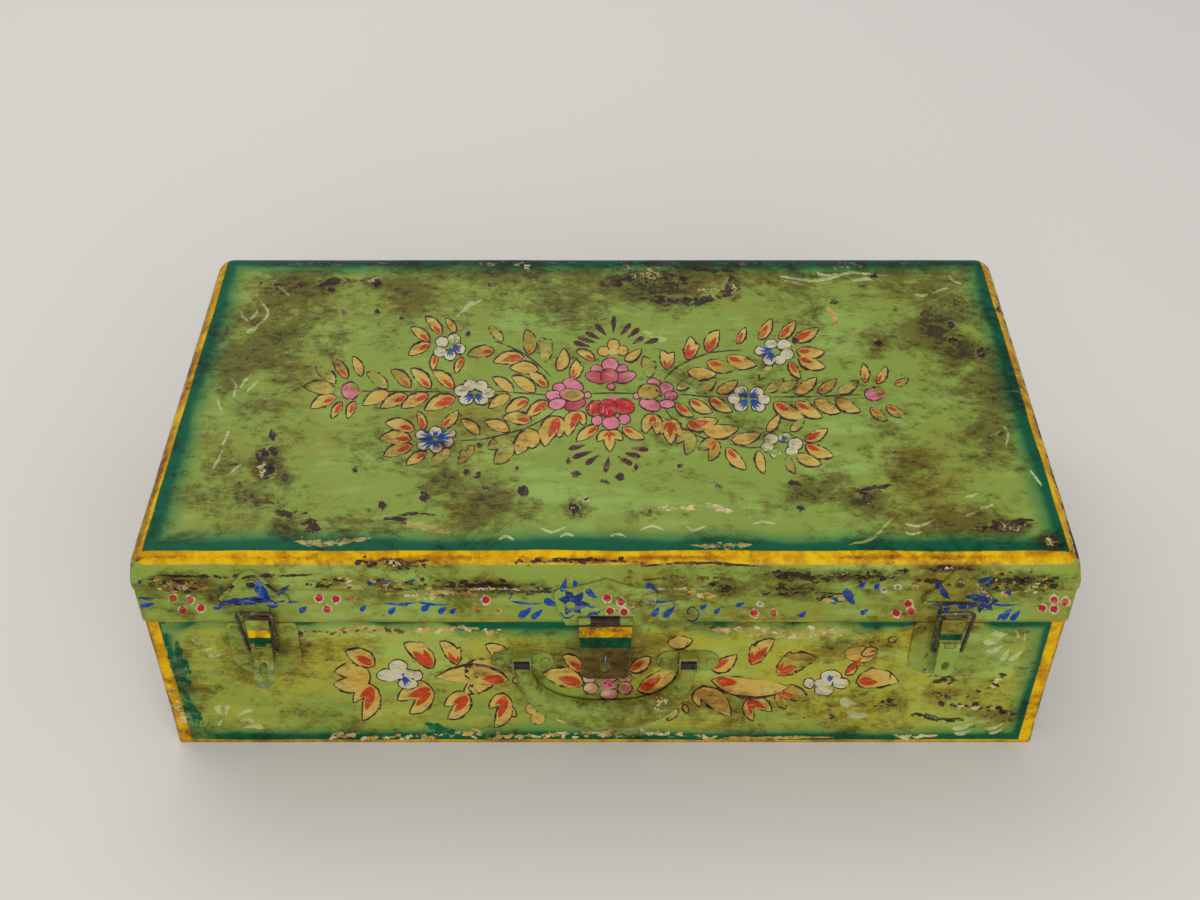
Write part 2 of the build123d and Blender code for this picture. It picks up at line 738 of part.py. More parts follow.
def make_hinge_lid_leaf(side):
    """The upper leaf, on the skirt, with the middle knuckle."""
    x = hinge_x[side]
    inner = base_depth / 2 + skirt_out
    leaf = back_bar(x, hinge_width, inner, inner + hinge_sheet, hinge_pivot_z, hinge_lid_leaf_top)
    for sign in (-1, 1):
        room_x = x + sign * (hinge_width - hinge_outer) / 2
        leaf = leaf - back_rod(room_x, hinge_barrel + knuckle_gap, hinge_outer + 2 * knuckle_gap)
    low = hinge_pivot_z + hinge_pivot_drop
    leaf = leaf - back_bar(x, 2 * hinge_width, inner - 1, inner + 2 * hinge_sheet, 0, low)
    leaf = leaf + back_rod(x, hinge_barrel, hinge_middle)
    leaf = leaf - back_rod(x, hinge_pin + pin_clearance, hinge_width)
    return cut_all(leaf, back_holes(hinge_lid_rivet_z))


def make_hinge_base_leaf(side):
    """The lower leaf, on the base, joggled out to the two outer knuckles."""
    x = hinge_x[side]
    inner = base_depth / 2
    leaf_top = hinge_pivot_z - hinge_barrel - knuckle_gap
    leaf = back_bar(x, hinge_width, inner, inner + hinge_sheet, hinge_pivot_z - hinge_leaf_height, leaf_top)
    for sign in (-1, 1):
        knuckle_x = x + sign * (hinge_width - hinge_outer) / 2
        leaf = leaf + back_bar(
            knuckle_x, hinge_outer, inner + hinge_sheet / 2, hinge_pivot_y, leaf_top - hinge_sheet, leaf_top
        )
        leaf = leaf + back_bar(
            knuckle_x,
            hinge_outer,
            hinge_pivot_y - hinge_sheet,
            hinge_pivot_y,
            leaf_top - hinge_sheet,
            hinge_pivot_z,
        )
        leaf = leaf + back_rod(knuckle_x, hinge_barrel, hinge_outer)
    leaf = leaf - back_rod(x, hinge_pin, hinge_width + 2)
    return cut_all(leaf, back_holes(hinge_base_rivet_z))


def make_hinge_pin(side):
    return back_rod(hinge_x[side], hinge_pin, hinge_width)


# ====================================================================== rivets
def front_rivets(places, seat_out, inside_out):
    """Rivets seated at seat_out and clinched behind inside_out."""
    grip = seat_out - inside_out
    seats = [Plane(origin=(x, front(seat_out), z), z_dir=(0, -1, 0)) for x, z in places]
    return [rivet(seat, grip) for seat in seats]


def back_rivets(z, seat_y, inside_y):
    places = hinge_rivets("left", z) + hinge_rivets("right", z)
    seats = [Plane(origin=(x, seat_y, z), z_dir=(0, 1, 0)) for x, z in places]
    return [rivet(seat, seat_y - inside_y) for seat in seats]


def make_keeper_rivet(side):
    """The keeper's one rivet, through the plate and the pressed top."""
    return rivet(keeper_rivet_seat(side), plate_sheet + seam_gap + sheet)


# ======================================================================= write
pieces = {
    "base_wall": make_base_wall(),
    "base_floor": make_base_floor(),
    "lid_skirt": make_lid_skirt(),
    "lid_top": make_lid_top(),
    "hasp_plate": make_hasp_plate(),
    "hasp_strap": make_hasp_strap(),
    "hasp_pin": make_hasp_pin(),
    "staple": make_staple(),
    "staple_plate": make_staple_plate(),
    "handle_grip": make_handle_grip(),
}
for side in ("left", "right"):
    pieces["keeper_" + side] = make_keeper(side)
    pieces["keeper_rivet_" + side] = make_keeper_rivet(side)
    pieces["latch_plate_" + side] = make_latch_plate(side)
    pieces["latch_lever_" + side] = make_lever(side)
    pieces["latch_lever_pin_" + side] = make_lever_pin(side)
    pieces["latch_bail_" + side] = make_bail(side)
    pieces["handle_bracket_" + side] = make_bracket(side)
    pieces["handle_pin_" + side] = make_handle_pin(side)
    pieces["hinge_lid_leaf_" + side] = make_hinge_lid_leaf(side)
    pieces["hinge_base_leaf_" + side] = make_hinge_base_leaf(side)
    pieces["hinge_pin_" + side] = make_hinge_pin(side)

groups = {
    "hasp_plate_rivets": front_rivets(hasp_rivets, plate_out + plate_sheet, lid_gap),
    "staple_plate_rivets": front_rivets(staple_rivets, plate_sheet, -sheet),
    "latch_plate_rivets_left": front_rivets(latch_rivets("left"), plate_sheet, -sheet),
    "latch_plate_rivets_right": front_rivets(latch_rivets("right"), plate_sheet, -sheet),
    "handle_bracket_rivets": front_rivets(
        bracket_rivets("left") + bracket_rivets("right"), plate_sheet, -sheet
    ),
    "hinge_lid_rivets": back_rivets(
        hinge_lid_rivet_z, base_depth / 2 + skirt_out + hinge_sheet, base_depth / 2 + lid_gap
    ),
    "hinge_base_rivets": back_rivets(
        hinge_base_rivet_z, base_depth / 2 + hinge_sheet, base_depth / 2 - sheet
    ),
}
for name, solids in groups.items():
    pieces[name] = Compound(children=[Solid(s.solid().wrapped) for s in solids])

os.makedirs("parts", exist_ok=True)
for name, piece in pieces.items():
    piece.label = name
    export_step(piece, os.path.join("parts", name + ".step"))
    print(name, "volume", round(piece.volume, 1))
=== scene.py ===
import math

import bpy
import numpy as np
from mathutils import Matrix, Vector
from mathutils.bvhtree import BVHTree


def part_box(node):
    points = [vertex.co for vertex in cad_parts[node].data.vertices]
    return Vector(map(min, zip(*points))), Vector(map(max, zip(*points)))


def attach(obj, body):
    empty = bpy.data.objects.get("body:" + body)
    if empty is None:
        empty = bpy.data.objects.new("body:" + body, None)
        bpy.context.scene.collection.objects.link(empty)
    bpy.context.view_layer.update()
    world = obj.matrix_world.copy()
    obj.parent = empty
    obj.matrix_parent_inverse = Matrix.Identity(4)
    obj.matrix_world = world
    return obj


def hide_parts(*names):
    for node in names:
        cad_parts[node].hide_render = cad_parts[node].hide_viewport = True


# The looks of a small tin trunk: hand-painted sheet metal in lime green with
# dark green and yellow borders, folk flowers, and a lifetime of wear.
# Metres throughout, in the frame of the CAD model: the front faces -Y.

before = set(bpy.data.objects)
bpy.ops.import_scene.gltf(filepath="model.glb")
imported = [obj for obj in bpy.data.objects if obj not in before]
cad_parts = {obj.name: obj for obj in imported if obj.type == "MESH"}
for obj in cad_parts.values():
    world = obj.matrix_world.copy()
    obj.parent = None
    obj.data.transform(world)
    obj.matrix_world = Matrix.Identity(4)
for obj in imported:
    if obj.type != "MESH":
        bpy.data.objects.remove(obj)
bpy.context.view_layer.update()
MM = 0.001

# ------------------------------------------------------------------- camera
PHOTO_WIDTH, PHOTO_HEIGHT = 1200, 900
FOCAL_PIXELS = 1575.2
CAMERA_AT = Vector((-3.5, -849.4, 895.3)) * MM
CAMERA_DOWN = math.radians(42.1)
SENSOR_WIDTH = 36.0

camera = bpy.data.objects.new("camera", bpy.data.cameras.new("camera"))
bpy.context.scene.collection.objects.link(camera)
camera.data.sensor_width = SENSOR_WIDTH
camera.data.lens = FOCAL_PIXELS / PHOTO_WIDTH * SENSOR_WIDTH
camera.data.clip_start = 0.02
camera.data.clip_end = 50.0
camera.location = CAMERA_AT
camera.rotation_euler = (math.pi / 2 - CAMERA_DOWN, 0, 0)
bpy.context.scene.camera = camera
FORWARD = Vector((0, math.cos(CAMERA_DOWN), -math.sin(CAMERA_DOWN)))
UPWARD = Vector((0, math.sin(CAMERA_DOWN), math.cos(CAMERA_DOWN)))


def photo_ray(u, v):
    """The direction from the camera through a pixel of the photograph."""
    right = (u - PHOTO_WIDTH / 2) / FOCAL_PIXELS
    up = (PHOTO_HEIGHT / 2 - v) / FOCAL_PIXELS
    return (FORWARD + UPWARD * up + Vector((right, 0, 0))).normalized()


def photo_pixels(points):
    """Where points (an n by 3 array, metres) fall in the photograph."""
    ray = points - np.array(CAMERA_AT)
    depth = ray @ np.array(FORWARD)
    u = PHOTO_WIDTH / 2 + FOCAL_PIXELS * ray[:, 0] / depth
    v = PHOTO_HEIGHT / 2 - FOCAL_PIXELS * (ray @ np.array(UPWARD)) / depth
    return u, v


# ------------------------------------------------------- sizes from the frame
def half_sizes(node):
    """Half the length and half the depth of a node, and its lowest and highest z."""
    low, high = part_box(node)
    return (high.x - low.x) / 2, (high.y - low.y) / 2, low.z, high.z


BASE_X, BASE_Y, BASE_LOW, BASE_HIGH = half_sizes("base_wall")
SKIRT_X, SKIRT_Y, SKIRT_LOW, SKIRT_HIGH = half_sizes("lid_skirt")
TOP_X, TOP_Y, TOP_LOW, TOP_HIGH = half_sizes("lid_top")
SHEET = 0.8 * MM
BASE_CORNER = 4.0 * MM
RIM_FOLD = 4.0 * MM
TOP_CORNER_LOW = 6.4 * MM
TOP_CORNER_HIGH = 15.0 * MM
TOP_INSET = 2.6 * MM
EDGE_ROLL = 14.0 * MM
LEAN = math.atan2(TOP_INSET, TOP_HIGH - SKIRT_HIGH)
MESH_STEP = 3.2 * MM
LEVEL_TOP_FROM = TOP_HIGH - 5.5 * MM
UNDER_LID = SKIRT_LOW + 5 * MM
HEM_LINE = SKIRT_LOW + 1.6 * MM
YELLOW_FROM = TOP_HIGH - 6.3 * MM
TONGUE_FRONT = -BASE_Y - 6.0 * MM
KEEPER_RIM = -BASE_Y - 4.1 * MM
LATCH_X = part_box("keeper_right")[0].x / 2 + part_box("keeper_right")[1].x / 2
# Painted borders: how far in from the edge a colour ends, and within what distance it is full.
LID_HALO = (34.0 * MM, 18.0 * MM)
LID_BORDER = (22.5 * MM, 16.5 * MM)
LID_YELLOW = (11.0 * MM, 10.3 * MM)
BASE_HALO = (26.0 * MM, 13.0 * MM)
BASE_BORDER = (16.5 * MM, 11.5 * MM)
CORNER_YELLOW = (10.2 * MM, 9.4 * MM)
CORNER_HANDLED = (4.0 * MM, 1.2 * MM)
FOOT_YELLOW = (3.2 * MM, 2.5 * MM)
# The base's dark border is broken up to the left of this stretch of x and whole to its right.
BORDER_WHOLE_FROM = (-286.0 * MM, -268.0 * MM)


# ------------------------------------------------------------ uneven surfaces
WAVE_OCTAVES = 3
WAVES_PER_OCTAVE = 5


def waves(points, size, seed):
    """Smooth noise about -1 to 1 at points, from a few crossing sine waves."""
    draw = np.random.default_rng(seed)
    total = np.zeros(len(points))
    weight = 0.0
    for octave in range(WAVE_OCTAVES):
        for _ in range(WAVES_PER_OCTAVE):
            direction = draw.normal(size=3)
            direction /= np.linalg.norm(direction)
            phase = draw.uniform(0, 2 * math.pi)
            pitch = size / 2**octave * draw.uniform(0.75, 1.35)
            total += np.sin(points @ direction * (2 * math.pi / pitch) + phase) / 1.6**octave
        weight += WAVES_PER_OCTAVE**0.5 / 1.6**octave
    return total / weight


def bumps(points, centres, radius, depth):
    """Round hollows of the given depth about the centres."""
    total = np.zeros(len(points))
    for centre in centres:
        distance = np.linalg.norm(points - np.array(centre), axis=1)
        total += depth * np.exp(-((distance / radius) ** 2))
    return total


# --------------------------------------------------------------- pressed shells
def side_steps(half):
    """Places along a side from -1 to 1, about MESH_STEP apart."""
    return np.linspace(-1, 1, round(2 * half / MESH_STEP) + 1)


class Shell:
    """A thin shell with a rounded-rectangle plan, built ring by ring."""

    ARC = 6

    def __init__(self, half_x, half_y):
        self.xs = side_steps(half_x)
        self.ys = side_steps(half_y)
        self.points = []
        self.faces = []
        self.last = None

    def ring(self, half_x, half_y, radius, z):
        """Adds one closed ring, and the faces between it and the last one."""
        inner_x, inner_y = half_x - radius, half_y - radius
        loop = []
        sides = (
            [(x * inner_x, -half_y) for x in self.xs],
            [(half_x, y * inner_y) for y in self.ys],
            [(-x * inner_x, half_y) for x in self.xs],
            [(-half_x, -y * inner_y) for y in self.ys],
        )
        corners = ((1, -1, -90), (1, 1, 0), (-1, 1, 90), (-1, -1, 180))
        for side, (sign_x, sign_y, start) in zip(sides, corners):
            loop += side
            for k in range(1, self.ARC):
                angle = math.radians(start + 90 * k / self.ARC)
                x = sign_x * inner_x + radius * math.cos(angle)
                y = sign_y * inner_y + radius * math.sin(angle)
                loop.append((x, y))
        first = len(self.points)
        self.points += [(x, y, z) for x, y in loop]
        indices = list(range(first, first + len(loop)))
        self.join(indices)
        self.last = indices

    def join(self, indices):
        if self.last is None:
            return
        count = len(indices)
        for k in range(count):
            n = (k + 1) % count
            self.faces.append([self.last[k], self.last[n], indices[n], indices[k]])

    def cap(self, half_x, half_y, z):
        """Closes the shell with a flat grid whose border is the last ring."""
        first = len(self.points)
        columns, rows = len(self.xs), len(self.ys)
        for y in self.ys:
            for x in self.xs:
                self.points.append((x * half_x, y * half_y, z))

        def at(column, row):
            return first + row * columns + column

        for row in range(rows - 1):
            for column in range(columns - 1):
                near = [at(column, row), at(column + 1, row)]
                self.faces.append(near + [at(column + 1, row + 1), at(column, row + 1)])
        right, back = columns - 1, rows - 1
        border = []
        for side in (
            [at(column, 0) for column in range(columns)],
            [at(right, row) for row in range(rows)],
            [at(right - column, back) for column in range(columns)],
            [at(0, back - row) for row in range(rows)],
        ):
            border += side + [side[-1]] * (self.ARC - 1)
        count = len(border)
        for k in range(count):
            n = (k + 1) % count
            face = []
            for index in (self.last[k], self.last[n], border[n], border[k]):
                if index not in face:
                    face.append(index)
            if len(face) >= 3:
                self.faces.append(face)

    def build(self, name, shift, thickness, material, inside):
        """Makes the object: its points move by shift(points) and the sheet gets its thickness."""
        points = np.array(self.points)
        points = points + shift(points)
        mesh = bpy.data.meshes.new(name)
        mesh.from_pydata(points.tolist(), [], self.faces)
        mesh.validate()
        mesh.shade_smooth()
        mesh.materials.append(material)
        mesh.materials.append(inside)
        piece = bpy.data.objects.new(name, mesh)
        bpy.context.scene.collection.objects.link(piece)
        wall = piece.modifiers.new("sheet", "SOLIDIFY")
        wall.thickness = thickness
        wall.offset = -1
        wall.material_offset = 1
        wall.material_offset_rim = 0
        return piece


def plan_normals(points, half_x, half_y):
    """Unit vectors pointing straight out of the nearest upright side."""
    over_x = np.abs(points[:, 0]) - half_x
    over_y = np.abs(points[:, 1]) - half_y
    normal = np.zeros_like(points)
    sideways = over_x > over_y
    normal[sideways, 0] = np.sign(points[sideways, 0])
    normal[~sideways, 1] = np.sign(points[~sideways, 1])
    return normal


TOP_DENTS = ((-0.17, 0.02, 0.185), (0.09, -0.07, 0.185), (0.21, 0.03, 0.185), (-0.05, 0.11, 0.185))
EDGE_DINGS = (
    (-0.246, -0.165, 0.183), (0.094, -0.166, 0.183), (0.29, -0.16, 0.183), (-0.12, -0.166, 0.16),
)
FRONT_DENTS = ((-0.10, -0.165, 0.07), (0.15, -0.165, 0.05), (0.23, -0.165, 0.10))


def lid_top_shift(points):
    """The pressed top's unevenness: slack sheet on top, dings along its edges."""
    shift = np.zeros_like(points)
    inset = np.minimum(TOP_X - np.abs(points[:, 0]), TOP_Y - np.abs(points[:, 1]))
    upper = np.clip((points[:, 2] - TOP_HIGH + 12 * MM) / (12 * MM), 0, 1)
    middle = np.clip((inset - 8 * MM) / (50 * MM), 0, 1)
    slack = -0.9 * MM * middle + 0.35 * MM * middle * waves(points, 0.16, 5)
    shift[:, 2] += upper * (slack - bumps(points, TOP_DENTS, 0.03, 0.8 * MM))
    shift[:, 2] -= upper * (0.12 * MM + 0.12 * MM * waves(points, 0.07, 6))
    low = np.clip((points[:, 2] - TOP_LOW) / (8 * MM), 0, 1)
    inward = low * (0.16 * MM + 0.16 * MM * waves(points, 0.09, 8))
    inward += bumps(points, EDGE_DINGS, 0.011, 0.7 * MM)
    shift -= plan_normals(points, TOP_X - EDGE_ROLL, TOP_Y - EDGE_ROLL) * inward[:, None]
    return shift


def skirt_shift(points):
    """The slight waves of the lid's straight band."""
    inward = 0.08 * MM + 0.08 * MM * waves(points, 0.1, 12)
    return -plan_normals(points, SKIRT_X, SKIRT_Y) * inward[:, None]


def base_shift(points):
    """Waves and dents of the base's wall, none at its foot, at its rim or under the fittings."""
    free = np.clip(points[:, 2] / (20 * MM), 0, 1)
    free *= np.clip((110 * MM - points[:, 2]) / (30 * MM), 0, 1)
    quiet = np.abs(points[:, 0]) < 90 * MM
    quiet |= np.abs(np.abs(points[:, 0]) - LATCH_X) < 30 * MM
    sideways = np.abs(points[:, 0]) > BASE_X - 2 * BASE_CORNER
    free *= np.where(quiet & ~sideways, 0.0, 1.0)
    uneven = 0.25 * MM + 0.25 * MM * waves(points, 0.15, 15)
    inward = free * (uneven + bumps(points, FRONT_DENTS, 0.02, 0.9 * MM))
    return -plan_normals(points, BASE_X - BASE_CORNER, BASE_Y - BASE_CORNER) * inward[:, None]


# ---------------------------------------------------------------- shader nodes
class Shader:
    """A material under construction, with short calls for its nodes."""

    def __init__(self, name):
        self.material = bpy.data.materials.new(name)
        self.material.use_nodes = True
        self.tree = self.material.node_tree
        self.tree.nodes.clear()
        self.place = self.tree.nodes.new("ShaderNodeTexCoord").outputs["Object"]
        split = self.tree.nodes.new("ShaderNodeSeparateXYZ")
        self.tree.links.new(self.place, split.inputs[0])
        self.x, self.y, self.z = split.outputs

    def put(self, socket, value):
        if isinstance(value, bpy.types.NodeSocket):
            self.tree.links.new(value, socket)
        elif isinstance(value, tuple) and socket.type == "RGBA":
            socket.default_value = (*value, 1.0)
        elif value is not None:
            socket.default_value = value

    def math(self, operation, a, b=None, c=None):
        node = self.tree.nodes.new("ShaderNodeMath")
        node.operation = operation
        for socket, value in zip(node.inputs, (a, b, c)):
            self.put(socket, value)
        return node.outputs[0]

    def sum(self, *terms):
        """Adds terms; a pair is a value and its weight."""
        total = None
        for term in terms:
            value = self.math("MULTIPLY", *term) if isinstance(term, tuple) else term
            total = value if total is None else self.math("ADD", total, value)
        return total

    def times(self, a, b):
        return self.math("MULTIPLY", a, b)

    def rest(self, value):
        return self.math("SUBTRACT", 1.0, value)

    def least(self, *values):
        result = values[0]
        for value in values[1:]:
            result = self.math("MINIMUM", result, value)
        return result

    def most(self, *values):
        result = values[0]
        for value in values[1:]:
            result = self.math("MAXIMUM", result, value)
        return result

    def step(self, value, low, high):
        """0 below low and 1 above high, smooth between; if low is above high, 1 below high
        and 0 above low."""
        node = self.tree.nodes.new("ShaderNodeMapRange")
        node.interpolation_type = "SMOOTHSTEP"
        falls = low > high
        self.put(node.inputs["Value"], value)
        node.inputs["From Min"].default_value = min(low, high)
        node.inputs["From Max"].default_value = max(low, high)
        node.inputs["To Min"].default_value = 1.0 if falls else 0.0
        node.inputs["To Max"].default_value = 0.0 if falls else 1.0
        return node.outputs["Result"]

    def band(self, value, low, high, soft):
        rises = self.step(value, low - soft, low + soft)
        return self.times(rises, self.step(value, high + soft, high - soft))

    def noise(self, size, detail=4.0, rough=0.55, stretch=(1, 1, 1), turn=(0, 0, 0), distort=0.0):
        """Noise from about 0 to 1 whose main features are size metres across."""
        mapping = self.tree.nodes.new("ShaderNodeMapping")
        mapping.inputs["Rotation"].default_value = turn
        mapping.inputs["Scale"].default_value = stretch
        self.put(mapping.inputs["Vector"], self.place)
        node = self.tree.nodes.new("ShaderNodeTexNoise")
        self.put(node.inputs["Vector"], mapping.outputs[0])
        node.inputs["Scale"].default_value = 0.5 / size
        node.inputs["Detail"].default_value = detail
        node.inputs["Roughness"].default_value = rough
        node.inputs["Distortion"].default_value = distort
        return node.outputs["Fac"]

    def sway(self, size, detail, rough, reach):
        """Noise about 0 whose whole span is reach."""
        return self.sum((self.sum(self.noise(size, detail, rough), -0.5), reach))

    def field(self, name, output="Fac"):
        node = self.tree.nodes.new("ShaderNodeAttribute")
        node.attribute_name = name
        return node.outputs[output]

    def edges(self, reach):
        """Above 0 within reach of an edge or corner."""
        bevel = self.tree.nodes.new("ShaderNodeBevel")
        bevel.samples = 4
        bevel.inputs["Radius"].default_value = reach
        surface = self.tree.nodes.new("ShaderNodeNewGeometry")
        dot = self.tree.nodes.new("ShaderNodeVectorMath")
        dot.operation = "DOT_PRODUCT"
        self.tree.links.new(bevel.outputs[0], dot.inputs[0])
        self.tree.links.new(surface.outputs["Normal"], dot.inputs[1])
        return self.rest(dot.outputs["Value"])

    def stain(self, factor, colour, tint):
        """Tints a colour as a thin glaze does, leaving dark colours dark."""
        node = self.tree.nodes.new("ShaderNodeMix")
        node.data_type = "RGBA"
        node.blend_type = "MULTIPLY"
        self.put(node.inputs[0], factor)
        self.put(node.inputs[6], colour)
        self.put(node.inputs[7], tint)
        return node.outputs[2]

    def mix(self, factor, a, b):
        node = self.tree.nodes.new("ShaderNodeMix")
        node.data_type = "RGBA"
        self.put(node.inputs[0], factor)
        self.put(node.inputs[6], a)
        self.put(node.inputs[7], b)
        return node.outputs[2]

    def finish(self, colour, metal, rough, height=None, lift=0.0, shine=0.5):
        """The closing shader. lift is how many metres a height of 1 stands up."""
        shader = self.tree.nodes.new("ShaderNodeBsdfPrincipled")
        self.put(shader.inputs["Base Color"], colour)
        self.put(shader.inputs["Metallic"], metal)
        self.put(shader.inputs["Roughness"], rough)
        shader.inputs["Specular IOR Level"].default_value = shine
        if height is not None:
            bump = self.tree.nodes.new("ShaderNodeBump")
            bump.inputs["Distance"].default_value = lift
            self.put(bump.inputs["Height"], height)
            self.put(shader.inputs["Normal"], bump.outputs[0])
        out = self.tree.nodes.new("ShaderNodeOutputMaterial")
        self.tree.links.new(shader.outputs[0], out.inputs[0])
        return self.material


def srgb(red, green, blue):
    """An everyday 0 to 255 colour as the linear values that shaders take."""
    return tuple(
        c / 12.92 if c <= 0.04045 else ((c + 0.055) / 1.055) ** 2.4
        for c in (red / 255, green / 255, blue / 255)
    )


LIME = srgb(122, 140, 58)
PALE_LIME = srgb(140, 168, 86)
OLIVE = srgb(124, 118, 38)
MUSTARD = srgb(152, 150, 50)
BROWN_OLIVE = srgb(88, 74, 28)
FILM = srgb(186, 160, 142)
DEEP_GREEN = srgb(0, 78, 50)
SEA_GREEN = srgb(18, 102, 58)
YELLOW = srgb(206, 164, 0)
DEEP_YELLOW = srgb(178, 128, 0)
OCHRE = srgb(176, 144, 72)
PALE_OCHRE = srgb(160, 148, 84)
SOIL = srgb(150, 116, 100)
CREAM = srgb(190, 176, 128)
HAZE = srgb(162, 172, 116)
GRIME = srgb(48, 38, 26)
TARNISH = srgb(44, 38, 40)
RUST = srgb(88, 58, 36)
BARE_TIN = srgb(150, 148, 142)
INK = srgb(50, 30, 34)
LEAF_OCHRE = srgb(178, 138, 54)
LEAF_PALE = srgb(180, 160, 80)
FLAME = srgb(170, 54, 18)
RED = srgb(162, 20, 38)
ROSE = srgb(180, 92, 108)
PINK = srgb(196, 120, 136)
WHITE = srgb(176, 176, 162)
BLUE = srgb(0, 60, 134)
NAVY = srgb(0, 42, 104)
MAROON = srgb(66, 32, 40)
TIN_PALE = srgb(126, 124, 116)
TIN_DARK = srgb(92, 88, 80)
# Painted glints on bare iron, and its pale edges: partly rubbed metal, partly a painted highlight.
IRON_GLINT = srgb(176, 166, 142)
IRON_EDGE_RUB_AND_HIGHLIGHT = srgb(190, 184, 170)
DARK_IRON = srgb(64, 54, 46)
TAB_STEEL = srgb(132, 142, 150)
STRAP_BROWN = srgb(92, 84, 34)
FLOOR_GREY = srgb(206, 201, 194)


def age(s, paint, wear, grime, gloss=0.36):
    """Puts years on paint: a brown film, specks of dirt, chips to primer and metal, scratches."""
    smudge = s.noise(34 * MM, 7, 0.72, distort=0.5)
    crust = s.noise(11 * MM, 7, 0.78)
    wiped = s.noise(3 * MM, 6, 0.78, stretch=(0.65, 1, 1))
    grain = s.noise(2.2 * MM, 3, 0.7)
    film = s.step(s.sum((smudge, 0.42), (crust, 0.26), (wiped, 0.32), (grime, 0.20)), 0.49, 0.60)
    colour = s.stain(s.times(film, 0.92), paint, FILM)
    soil = s.step(s.sum((smudge, 0.3), (wiped, 0.7), (grime, 0.14)), 0.57, 0.68)
    colour = s.stain(s.times(soil, 0.85), colour, SOIL)
    dirt = s.step(s.sum((crust, 0.62), (grain, 0.38), (grime, 0.17)), 0.61, 0.68)
    colour = s.mix(s.times(dirt, 0.86), colour, GRIME)
    damage = s.sum(wear, (s.sum(crust, -0.5), 1.7), (s.sum(grain, -0.5), 0.5))
    primer = s.times(s.step(damage, 0.40, 0.46), s.step(s.noise(16 * MM, 3, 0.6), 0.44, 0.54))
    colour = s.mix(primer, colour, s.mix(s.step(grain, 0.42, 0.58), OCHRE, CREAM))
    bare = s.step(damage, 0.50, 0.55)
    metal = s.mix(s.step(smudge, 0.44, 0.62), TARNISH, RUST)
    metal = s.mix(s.times(s.step(grain, 0.60, 0.72), 0.35), metal, BARE_TIN)
    colour = s.mix(bare, colour, metal)
    line_a = s.noise(1.5 * MM, 1, 0.5, stretch=(0.035, 1.2, 1.2), turn=(0, 0.3, 0.42))
    line_b = s.noise(1.3 * MM, 1, 0.5, stretch=(0.04, 1.1, 1.1), turn=(0, -0.6, -0.9))
    scratch = s.most(s.step(line_a, 0.74, 0.77), s.step(line_b, 0.75, 0.78))
    scratch = s.times(scratch, s.step(smudge, 0.46, 0.58))
    colour = s.mix(s.times(scratch, 0.5), colour, s.mix(s.step(grain, 0.48, 0.52), GRIME, PALE_LIME))
    rough = s.sum(gloss, (grain, 0.2), (bare, 0.14))
    height = s.sum((crust, 0.35), (grain, 0.22), (s.rest(bare), 0.5))
    return s.finish(colour, s.times(bare, 0.3), rough, height, 0.24 * MM, 0.1)


def ground(s, warm, tone=OLIVE):
    """The lime-green ground, brushed on unevenly; warm is how far it runs to the second tone."""
    broad = s.noise(60 * MM, 5, 0.62)
    brush = s.noise(6 * MM, 4, 0.62, stretch=(0.22, 1, 1))
    second = s.step(s.sum((broad, 0.7), (brush, 0.3)), 0.44 - warm, 0.62 - warm)
    colour = s.mix(second, LIME, tone)
    pale = s.step(s.sum((s.noise(46 * MM, 4, 0.6), 0.5), (brush, 0.5)), 0.50, 0.62)
    return s.mix(s.times(pale, 0.6), colour, PALE_LIME)


def golden(s):
    """The yellow of the bands, deeper where it was brushed thin."""
    return s.mix(s.step(s.noise(9 * MM, 5, 0.65), 0.42, 0.60), YELLOW, DEEP_YELLOW)


def lid_colour(s):
    """The lid: lime with a dark green border, a yellow edge and a little yellow along the hem."""
    inset_x = s.math("SUBTRACT", TOP_X, s.math("ABSOLUTE", s.x))
    inset_front = s.sum(s.y, TOP_Y)
    inset_back = s.math("SUBTRACT", TOP_Y, s.y)
    top = s.step(s.z, LEVEL_TOP_FROM, LEVEL_TOP_FROM + 1 * MM)
    sway = s.sway(40 * MM, 4, 0.6, 16 * MM)
    soft = s.sum(s.least(inset_x, inset_front, inset_back), sway)
    colour = ground(s, -0.02)
    colour = s.mix(s.times(s.step(soft, *LID_HALO), s.times(top, 0.8)), colour, SEA_GREEN)
    colour = s.mix(s.times(s.step(soft, *LID_BORDER), top), colour, DEEP_GREEN)
    wobble = s.sway(30 * MM, 2, 0.5, 2.6 * MM)
    edge = s.step(s.sum(s.least(inset_x, inset_front), wobble), *LID_YELLOW)
    yellow = s.times(edge, s.step(s.z, YELLOW_FROM - 0.5 * MM, YELLOW_FROM + 0.6 * MM))
    colour = s.mix(yellow, colour, golden(s))
    hem = s.step(s.z, HEM_LINE + 0.3 * MM, HEM_LINE - 0.3 * MM)
    hem = s.times(hem, s.step(s.noise(22 * MM, 4, 0.6), 0.44, 0.54))
    return s.mix(s.times(hem, 0.8), colour, golden(s))


